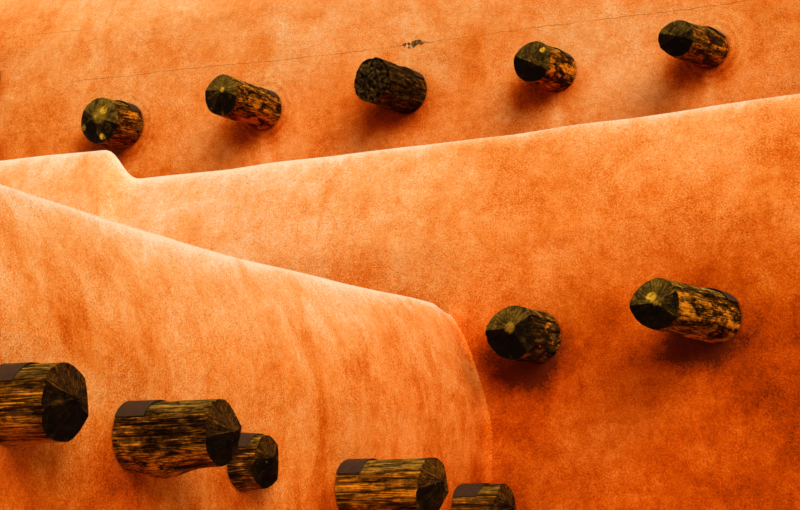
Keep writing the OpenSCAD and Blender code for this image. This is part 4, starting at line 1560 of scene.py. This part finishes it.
def metal_material(settings, clouding):
    """Painted sheet metal, dulled and browned by weather."""
    material, shader, surface = new_material("weathered_sheet", specular=0.06)
    place = shader.add("ShaderNodeTexCoord").outputs["Object"]
    cloud = shader.effect(clouding, Vector=place, Size=0.12, Contrast=2.6)["Mask"]
    base = shader.mix(cloud, colour_of(settings, "colour"), linear(48, 34, 22))
    shader.feed(surface.inputs["Roughness"], shader.remap(cloud, 0.2, 0.8, 0.45, 0.7))
    shader.cover(surface, base, shader.times(cloud, 0.002))
    return material


def weathered_fibre(shader, settings, wood, brown_place, silver_place):
    """Colour of old cut fibre: black, brown and silver at places of its ramp."""
    level = shader.add_up((wood["Bands"], 0.7), (wood["Fibres"], 0.45))
    return shader.colours(level, [
        (0.25, colour_of(settings, "black")), (brown_place, colour_of(settings, "brown")),
        (silver_place, colour_of(settings, "silver"))])


def adzed_material(name, settings, fibre):
    """Adzed timber: brown fibre with checks, its grain along the piece."""
    material, shader, surface = new_material(name, roughness=0.8, specular=0.15)
    wood = shader.effect(fibre, Vector=shader.attribute("grain", "Vector"), Fineness=1.0)
    base = weathered_fibre(shader, settings, wood, 0.6, 0.95)
    base = shader.mix(wood["Checks"], base, colour_of(settings, "black"))
    shader.cover(surface, base, shader.add_up((wood["Bands"], 0.006), (wood["Checks"], -0.004)))
    return material


def roof_material(timber, clouding, grit, fibre):
    """Earth roof: rain-washed mud, paler where it has dried, over a boarded underside."""
    material, shader, surface = new_material("earth_roof", roughness=0.95, specular=0.1)
    place = shader.add("ShaderNodeTexCoord").outputs["Object"]
    cloud = shader.effect(clouding, Vector=place, Size=0.7, Contrast=2.4)["Mask"]
    sandy = shader.effect(grit, Vector=place, Grain=0.016)
    earth = shader.colours(shader.add_up((cloud, 0.75), (sandy["Height"], 0.35)), [
        (0.15, linear(150, 84, 46)), (0.55, linear(196, 122, 74)), (1.0, linear(222, 164, 116))])
    earth = shader.mix(shader.times(sandy["Specks"], 0.6), earth, linear(96, 60, 38))
    wood = shader.effect(fibre, Vector=shader.attribute("grain", "Vector"), Fineness=1.0)
    boards = weathered_fibre(shader, timber, wood, 0.55, 0.9)
    under = shader.attribute("under")
    height = shader.mix(under, sandy["Height"], wood["Fibres"])
    shader.cover(surface, shader.mix(under, earth, boards), shader.times(height, 0.006))
    return material


# Operators


def shared(name):
    """A material or group by name, or None before it is made."""
    return bpy.data.materials.get(name) or bpy.data.node_groups.get(name)


def effects():
    """The three shared effects, built once."""
    return (shared("clouding") or clouding_effect(), shared("grit") or grit_effect(),
            shared("fibre") or fibre_effect())


def add_skin(block, path, rows, openings):
    """Builds one block's plaster."""
    settings = bpy.context.scene.adobe_plaster
    clouding, grit, _ = effects()
    material = shared("ochre_plaster") or plaster_material(settings, clouding, grit)
    mesh = wall_skin(block, settings, path, rows, openings)
    add_piece(block.skin, block.nodes, material, mesh)


# How far a side wall's plaster runs into the block behind it
BURY = 0.03
# Creases sharper than these angles in degrees stay sharp
LOG_CREASE = 16.0
SLAB_CREASE = 35.0
BEAM_CREASE = 40.0


def open_path(west, east, south, north, settings, south_places, east_places):
    """Path down a block's west side, along its south side and up its east side, from and to the
    block behind it."""
    reach = north - south - TURN + BURY
    west_places = spread(0.0, reach, settings.coarse_step, BURY + cove_places(settings.cove))
    return join_runs(
        straight_run((west, north + BURY), -NORTH, west_places),
        corner_run(np.array([west, south]), -NORTH, EAST, 9),
        straight_run((west + TURN, south), EAST, south_places),
        corner_run(np.array([east, south]), EAST, NORTH, 9),
        straight_run((east, south + TURN), NORTH, east_places))


class ADOBE_OT_low_plaster(bpy.types.Operator):
    """Plaster the low wing: three walls with a doorway, ending in soft corners at the hall."""

    bl_idname = "adobe.low_plaster"
    bl_label = "Low wing plaster"

    def execute(self, context):
        s = context.scene.adobe_plaster
        depth = LOW_NORTH - LOW_SOUTH
        door = doorway((node_middle("low_lintel")[0], LOW_SOUTH), EAST)
        door_edges = door_places(door.middle[0] - LOW_WEST - TURN, s.edge_radius)
        path = open_path(
            LOW_WEST, LOW_EAST, LOW_SOUTH, LOW_NORTH, s,
            spread(0.0, LOW_EAST - LOW_WEST - 2 * TURN, s.coarse_step, door_edges),
            spread(0.0, depth - TURN + BURY, s.fine_step, depth - TURN - cove_places(s.cove)))
        low_rows = np.unique(np.concatenate([
            spread(0.0, 2.35, s.coarse_step, door_rows(s.edge_radius)),
            np.arange(2.38, 2.9, s.fine_step)]))
        add_skin(BLOCKS["low"], path, (low_rows, np.linspace(0.0, 1.0, 5)), [door])
        return {"FINISHED"}


class ADOBE_OT_hall_plaster(bpy.types.Operator):
    """Plaster the hall: a stepped south wall, two side walls and a doorway to the east."""

    bl_idname = "adobe.hall_plaster"
    bl_label = "Hall plaster"

    def execute(self, context):
        s = context.scene.adobe_plaster
        depth = HALL_NORTH - HALL_SOUTH
        middle_y = node_middle("hall_lintel")[1]
        door = doorway((HALL_EAST, middle_y), NORTH)
        east_edges = np.concatenate([
            door_places(middle_y - HALL_SOUTH - TURN, s.edge_radius),
            depth - TURN - cove_places(s.cove)])
        path = open_path(
            HALL_WEST, HALL_EAST, HALL_SOUTH, HALL_NORTH, s,
            spread(0.0, HALL_EAST - HALL_WEST - 2 * TURN, s.fine_step),
            spread(0.0, depth - TURN + BURY, s.coarse_step, east_edges))
        low_rows = np.unique(np.concatenate([
            spread(0.0, 2.5, s.coarse_step, door_rows(s.edge_radius)),
            np.arange(2.53, 3.85, s.fine_step)]))
        add_skin(BLOCKS["hall"], path, (low_rows, np.linspace(0.0, 1.0, 4)), [door])
        return {"FINISHED"}


class ADOBE_OT_rear_plaster(bpy.types.Operator):
    """Plaster the rear block: four walls round a closed path with a doorway to the east."""

    bl_idname = "adobe.rear_plaster"
    bl_label = "Rear block plaster"

    def execute(self, context):
        s = context.scene.adobe_plaster
        fine, coarse, plain = s.fine_step, s.coarse_step, s.coarse_step * 1.3
        width, depth = REAR_EAST - REAR_WEST, REAR_NORTH - REAR_SOUTH
        middle_y = node_middle("rear_lintel")[1]
        door = doorway((REAR_EAST, middle_y), NORTH)
        door_edges = door_places(middle_y - REAR_SOUTH - TURN, s.edge_radius)
        spout_x = node_middle("roof_spout")[0]
        hole = Opening((spout_x, REAR_SOUTH), EAST, [SPOUT_HOLE], rounded=False)
        hole_edges = spout_x - REAR_WEST - TURN + SPOUT_HOLE[0] * np.array([-1.0, 1.0])
        seen = LOW_EAST + 0.8 - REAR_WEST - TURN
        south_places = np.unique(np.concatenate([
            spread(0.0, seen, fine * 1.05, hole_edges), spread(seen, width - 2 * TURN, coarse)]))
        path = join_runs(
            straight_run((REAR_WEST + TURN, REAR_SOUTH), EAST, south_places),
            corner_run(np.array([REAR_EAST, REAR_SOUTH]), EAST, NORTH, 8),
            straight_run((REAR_EAST, REAR_SOUTH + TURN), NORTH,
                         spread(0.0, depth - 2 * TURN, coarse, door_edges)),
            corner_run(np.array([REAR_EAST, REAR_NORTH]), NORTH, -EAST, 8),
            straight_run((REAR_EAST - TURN, REAR_NORTH), -EAST, spread(0.0, width - 2 * TURN, plain)),
            corner_run(np.array([REAR_WEST, REAR_NORTH]), -EAST, -NORTH, 8),
            straight_run((REAR_WEST, REAR_NORTH - TURN), -NORTH, spread(0.0, depth - 2 * TURN, plain)),
            corner_run(np.array([REAR_WEST, REAR_SOUTH]), -NORTH, EAST, 8))[:-1]
        low_rows = np.unique(np.concatenate([
            spread(0.0, 4.2, plain, door_rows(s.edge_radius)),
            spread(4.24, 6.35, fine * 1.1, SPOUT_HOLE[1:])]))
        add_skin(BLOCKS["rear"], path, (low_rows, np.linspace(0.0, 1.0, 3)), [door, hole])
        return {"FINISHED"}


class ADOBE_OT_vigas(bpy.types.Operator):
    """Build the nineteen roof logs, each with its own axe-cut end."""

    bl_idname = "adobe.vigas"
    bl_label = "Roof logs"

    def execute(self, context):
        s = context.scene.adobe_timber
        clouding, _, fibre = effects()
        material = log_material(s, fibre, clouding)
        for log in (log for row in LOGS.values() for log in row):
            mesh = log_mesh(log, s.columns)
            add_piece(log.node + "_log", [log.node], material, mesh, LOG_CREASE)
        return {"FINISHED"}


BOARD_WIDTH = 0.16
BOARD_JOINT = 0.007


def slab_mesh(node, west, east, south, north, boards_east, fall, seed):
    """Closed roof slab: an uneven top over boards with a groove at each joint, both rising to the
    south by the fall."""
    def board_places(lo, hi):
        joints = np.arange(lo + BOARD_WIDTH, hi - 0.05, BOARD_WIDTH)
        places = np.concatenate([[lo, hi], joints - BOARD_JOINT, joints, joints + BOARD_JOINT])
        return np.unique(places), joints

    if boards_east:
        ys, joints = board_places(south, north)
        xs = spread(west, east, 0.12)
    else:
        xs, joints = board_places(west, east)
        ys = spread(south, north, 0.12)
    x, y = np.meshgrid(xs, ys)
    crossing = y if boards_east else x
    lo, hi = node_low(node), node_high(node)
    rise = fall * (LOW_NORTH - y)
    thickness = hi[2] - lo[2] - fall * (LOW_NORTH - LOW_SOUTH - WALL)
    flat = joined(x, y, 0.0 * x)
    waves = 0.012 * noise(flat, 0.9, seed) + 0.006 * noise(flat, 0.3, seed + 1)
    top = lo[2] + thickness + rise + waves - 0.012
    groove = np.where(np.abs(crossing[..., None] - joints).min(axis=-1) < 1e-4, 0.012, 0.0)
    bottom = lo[2] + rise + groove
    points = np.concatenate([joined(x, y, z).reshape(-1, 3) for z in (top, bottom)])
    rows, cols = x.shape
    count = rows * cols
    number = np.arange(count).reshape(rows, cols)
    quads = grid_quads(rows, cols)
    ring = np.concatenate([number[0, :-1], number[:-1, -1], number[-1, :0:-1], number[:0:-1, 0]])
    after = np.roll(ring, -1)
    sides = joined(ring, ring + count, after + count, after)
    polygons = [quads[:, ::-1], quads + count, sides]
    along = flat if boards_east else flat[..., [1, 0, 2]]
    board = np.floor((crossing - crossing.min()) / BOARD_WIDTH)
    grain = along + joined(1.7 * board, 0.3 * board, 0.9 * board)
    attributes = {
        "grain": np.concatenate([grain.reshape(-1, 3)] * 2),
        "under": np.repeat([0.0, 1.0], count),
    }
    return points, polygons, attributes


class ADOBE_OT_roofs(bpy.types.Operator):
    """Lay the three flat roofs: uneven packed earth on boards that cross the logs."""

    bl_idname = "adobe.roofs"
    bl_label = "Roofs"

    def execute(self, context):
        clouding, grit, fibre = effects()
        material = roof_material(context.scene.adobe_timber, clouding, grit, fibre)
        inset = WALL - ROOF_BEARING
        plans = {
            "low_roof": (LOW_WEST + inset, LOW_EAST - inset, LOW_SOUTH + inset,
                         LOW_NORTH + ROOF_BEARING, False, LOW_ROOF_FALL),
            "hall_roof": (HALL_WEST + inset, HALL_EAST - inset, HALL_SOUTH + inset,
                          HALL_NORTH + ROOF_BEARING, True, 0.0),
            "rear_roof": (REAR_WEST + inset, REAR_EAST - inset, REAR_SOUTH + inset,
                          REAR_NORTH - inset, True, 0.0),
        }
        for seed, (node, plan) in enumerate(plans.items(), 41):
            mesh = slab_mesh(node, *plan, seed)
            add_piece(node + "_earth", [node], material, mesh, SLAB_CREASE)
        return {"FINISHED"}


# Size of the eased edge at a beam's ends, its mesh, and the power of its rounded rectangle
END_SLACK = 0.004
BEAM_LENGTHS = 40
BEAM_COLUMNS = 48
BEAM_POWER = 9


def beam_mesh(node):
    """Adzed beam in the place of a lintel: a rounded rectangle, |x|^p + |y|^p = 1 with a high p,
    carried along the longer axis with small dents."""
    lo, hi = node_low(node), node_high(node)
    along = 0 if hi[0] - lo[0] > hi[1] - lo[1] else 1
    other = 1 - along
    stations = np.concatenate([
        [lo[along], lo[along] + END_SLACK], np.linspace(lo[along] + 0.02, hi[along] - 0.02, BEAM_LENGTHS),
        [hi[along] - END_SLACK, hi[along]]])
    shrink = np.concatenate([[0.93, 0.98], np.ones(BEAM_LENGTHS), [0.98, 0.93]])
    angle = np.linspace(0.0, 2 * math.pi, BEAM_COLUMNS, endpoint=False)
    c, s = np.cos(angle), np.sin(angle)
    size = (np.abs(c) ** BEAM_POWER + np.abs(s) ** BEAM_POWER) ** (-1.0 / BEAM_POWER)
    across = (hi[other] - lo[other]) / 2 * size * c
    high = (hi[2] - lo[2]) / 2 * size * s
    place = np.broadcast_to(stations[:, None], (len(stations), len(angle)))
    spot = joined(place, across + 0 * place, high + 0 * place)
    dent = 1.0 - 0.02 * ramp(noise(spot, (0.16, 0.09, 0.09), 5) + 0.3)
    points = np.zeros((len(stations), len(angle), 3))
    points[..., along] = place
    points[..., other] = (lo[other] + hi[other]) / 2 + across * shrink[:, None] * dent
    points[..., 2] = (lo[2] + hi[2]) / 2 + high * shrink[:, None] * dent
    polygons = tube_faces(len(stations), len(angle))
    return points.reshape(-1, 3), polygons, {"grain": spot.reshape(-1, 3)}


class ADOBE_OT_lintels(bpy.types.Operator):
    """Build the adzed beam over each doorway."""

    bl_idname = "adobe.lintels"
    bl_label = "Lintels"

    def execute(self, context):
        _, _, fibre = effects()
        material = adzed_material("adzed_beam", context.scene.adobe_timber, fibre)
        for node in ("low_lintel", "hall_lintel", "rear_lintel"):
            add_piece(node + "_beam", [node], material, beam_mesh(node), BEAM_CREASE)
        return {"FINISHED"}


def spout_mesh():
    """Hollowed log: an outer arc and the channel's arc back, carried to the mouth with adze dents and
    closed at both ends by quads between the arcs."""
    lo, hi = node_low("roof_spout"), node_high("roof_spout")
    middle = node_middle("roof_spout")[0]
    half, lengths = 36, 44
    rim = math.asin(SPOUT_RIM / SPOUT_RADIUS)
    lip = math.asin((SPOUT_RIM - CHANNEL_LIFT) / CHANNEL_RADIUS)
    outer = np.linspace(rim, -math.pi - rim, half)
    inner = np.linspace(-math.pi - lip, lip, half)
    x = np.concatenate([SPOUT_RADIUS * np.cos(outer), CHANNEL_RADIUS * np.cos(inner)])
    z = np.concatenate([SPOUT_RADIUS * np.sin(outer), CHANNEL_LIFT + CHANNEL_RADIUS * np.sin(inner)])
    place = np.linspace(hi[1], lo[1] + END_SLACK, lengths)[:, None] + 0.0 * x
    spot = joined(place, x + 0.0 * place, z + 0.0 * place)
    dent = 0.003 * noise(spot, (0.12, 0.05, 0.05), 81) + 0.0015 * noise(spot, (0.3, 0.018, 0.018), 82)
    outside = (np.arange(2 * half) < half)[None, :]
    swell = 1.0 + np.where(outside, dent - 0.003, dent * 0.6) / SPOUT_RADIUS
    mouth = 0.004 * noise(spot, (9.0, 0.03, 0.03), 83) * (place < lo[1] + 0.01)
    points = joined(middle + x * swell, place + mouth, SPOUT_CENTRE + z * swell)
    cols = 2 * half
    k = np.arange(half - 1)
    cap = joined(k, k + 1, cols - 2 - k, cols - 1 - k)
    polygons = [grid_quads(lengths, cols, wrap_cols=True), cap[:, ::-1], cap + (lengths - 1) * cols]
    return points.reshape(-1, 3), polygons, {"grain": (spot + (5.0, 2.0, 1.0)).reshape(-1, 3)}


class ADOBE_OT_spout(bpy.types.Operator):
    """Hollow the roof spout from its log."""

    bl_idname = "adobe.spout"
    bl_label = "Roof spout"

    def execute(self, context):
        _, _, fibre = effects()
        material = adzed_material("spout_log", context.scene.adobe_timber, fibre)
        add_piece("roof_spout_trough", ["roof_spout"], material, spout_mesh(), BEAM_CREASE)
        return {"FINISHED"}


# How far a saddle starts inside the wall, and how high its two faces stand off the log
SADDLE_BURIED = 0.05
SADDLE_TOP = 0.0075
SADDLE_UNDER = 0.0045


def saddle_mesh(log, reach, sweep):
    """Thin sheet bent over the top of a log from inside the wall to its reach: two arcs a sheet's
    thickness apart, closed round the edges."""
    steps, lengths = 26, 9
    arc = np.linspace(math.pi / 2 - sweep, math.pi / 2 + sweep, steps)
    a = np.linspace(log.wall - SADDLE_BURIED, log.wall + min(reach, 0.5 * (log.end - log.wall)), lengths)
    place, turn = np.meshgrid(a, np.concatenate([arc, arc[::-1]]), indexing="ij")
    lift = np.repeat([SADDLE_TOP, SADDLE_UNDER], steps)[None, :]
    spot = joined(place, 0.2 * np.cos(turn), 0.2 * np.sin(turn))
    radius = log.taper(place) + lift + 0.0015 * noise(spot, (0.07, 0.06, 0.06), log.seed + 31)
    points = log.world(place, radius * np.cos(turn), radius * np.sin(turn)).reshape(-1, 3)
    return points, tube_faces(lengths, 2 * steps)


class ADOBE_OT_flashings(bpy.types.Operator):
    """Bend a sheet-metal saddle over each log where it leaves the wall."""

    bl_idname = "adobe.flashings"
    bl_label = "Flashings"

    def execute(self, context):
        s = context.scene.adobe_metal
        clouding, _, _ = effects()
        material = metal_material(s, clouding)
        for row, logs in LOGS.items():
            parts = [saddle_mesh(log, s.reach, s.sweep) for log in logs if log.node != BARE_LOG]
            sizes = np.cumsum([0] + [len(points) for points, _ in parts[:-1]])
            points = np.concatenate([points for points, _ in parts])
            polygons = []
            for k in range(len(parts[0][1])):
                polygons.append(np.concatenate([p[k] + start for (_, p), start in zip(parts, sizes)]))
            add_piece(row + "_flashing_sheets", [row + "_flashings"], material,
                      (points, polygons, {}), BEAM_CREASE)
        return {"FINISHED"}


# Directions that the lamps shine from, and the angles that they spread over, in degrees
KEY_FROM = (0.62, -0.655, 0.43)
KEY_SPREAD = 34.0
TOP_FROM = (0.15, -0.3, 1.0)
TOP_SPREAD = 100.0
# Camera: its place east and south of the inner corner, and how far it looks up and to the left
EYE_EAST = 4.681
EYE_SOUTH = 8.98
LOOK_UP = 9.1
LOOK_LEFT = 30.0
SENSOR_WIDTH = 36.0
FLOOR_HALF = 60.0


class ADOBE_OT_stage(bpy.types.Operator):
    """Set up the plain floor, the soft lamps, the white background and the camera."""

    bl_idname = "adobe.stage"
    bl_label = "Stage"

    def add_sun(self, name, power, spread_degrees, colour, source):
        """A soft sun that shines from the given direction."""
        light = bpy.data.lights.new(name, "SUN")
        light.energy = power
        light.angle = math.radians(spread_degrees)
        light.color = colour
        lamp = bpy.data.objects.new(name, light)
        lamp.rotation_mode = "QUATERNION"
        lamp.rotation_quaternion = Vector([-c for c in source]).to_track_quat("-Z", "Y")
        bpy.context.scene.collection.objects.link(lamp)

    def execute(self, context):
        s = context.scene.adobe_stage
        scene = context.scene
        floor = bpy.data.meshes.new("floor")
        size = FLOOR_HALF
        corners = [(-size, -size, 0), (size, -size, 0), (size, size, 0), (-size, size, 0)]
        floor.from_pydata(corners, [], [(0, 1, 2, 3)])
        material, _, surface = new_material("pale_floor", roughness=0.9)
        surface.inputs["Base Color"].default_value = (0.72, 0.7, 0.68, 1.0)
        floor.materials.append(material)
        ground = bpy.data.objects.new("floor", floor)
        ground.location.z = -0.001
        scene.collection.objects.link(ground)

        world = bpy.data.worlds.new("studio")
        world.use_nodes = True
        world.node_tree.nodes.clear()
        sky = Shader(world.node_tree)
        path = sky.add("ShaderNodeLightPath").outputs
        seen = sky.maths("MAXIMUM", path["Is Camera Ray"], sky.maths(
            "MAXIMUM", path["Is Glossy Ray"], path["Is Transmission Ray"]))
        light = sky.add("ShaderNodeBackground", {"Color": (1.0, 0.97, 0.93, 1.0), "Strength": s.ambient})
        white = sky.add("ShaderNodeBackground", {"Color": (1.0, 1.0, 1.0, 1.0), "Strength": 1.0})
        both = sky.add("ShaderNodeMixShader", {0: seen, 1: light.outputs[0], 2: white.outputs[0]})
        sky.add("ShaderNodeOutputWorld", {"Surface": both.outputs[0]})
        scene.world = world

        self.add_sun("key", s.key_power, KEY_SPREAD, (1.0, 0.96, 0.9), KEY_FROM)
        self.add_sun("overhead", s.top_power, TOP_SPREAD, (1.0, 0.98, 0.95), TOP_FROM)

        camera = bpy.data.cameras.new("camera")
        camera.sensor_width = SENSOR_WIDTH
        camera.lens = s.focal_length
        camera.clip_end = 200.0
        eye = bpy.data.objects.new("camera", camera)
        eye.location = (LOW_EAST + EYE_EAST, LOW_NORTH - EYE_SOUTH, s.eye_height)
        eye.rotation_euler = (math.radians(90.0 + LOOK_UP), 0.0, math.radians(LOOK_LEFT))
        scene.collection.objects.link(eye)
        scene.camera = eye
        scene.view_settings.view_transform = "Standard"
        return {"FINISHED"}


class ADOBE_PT_panel(bpy.types.Panel):
    """Lists the house's pieces and settings in the sidebar."""

    bl_label = "Adobe house"
    bl_idname = "ADOBE_PT_panel"
    bl_space_type = "VIEW_3D"
    bl_region_type = "UI"
    bl_category = "Adobe house"

    def draw(self, context):
        layout = self.layout
        for operator in OPERATORS:
            layout.operator(operator.bl_idname)
        for name in SETTINGS:
            group = getattr(context.scene, name)
            for key in group.bl_rna.properties.keys():
                if key not in ("rna_type", "name"):
                    layout.prop(group, key)


SETTINGS = {
    "adobe_plaster": AdobePlasterSettings,
    "adobe_timber": AdobeTimberSettings,
    "adobe_metal": AdobeMetalSettings,
    "adobe_stage": AdobeStageSettings,
}
OPERATORS = [
    ADOBE_OT_low_plaster,
    ADOBE_OT_hall_plaster,
    ADOBE_OT_rear_plaster,
    ADOBE_OT_vigas,
    ADOBE_OT_flashings,
    ADOBE_OT_spout,
    ADOBE_OT_lintels,
    ADOBE_OT_roofs,
    ADOBE_OT_stage,
]


def register():
    for item in (*SETTINGS.values(), *OPERATORS, ADOBE_PT_panel):
        bpy.utils.register_class(item)
    for name, group in SETTINGS.items():
        setattr(bpy.types.Scene, name, bpy.props.PointerProperty(type=group))


def unregister():
    for name in SETTINGS:
        delattr(bpy.types.Scene, name)
    for item in reversed((*SETTINGS.values(), *OPERATORS, ADOBE_PT_panel)):
        bpy.utils.unregister_class(item)


def main():
    register()
    for operator in OPERATORS:
        group, name = operator.bl_idname.split(".")
        getattr(getattr(bpy.ops, group), name)()


if __name__ == "__main__":
    main()
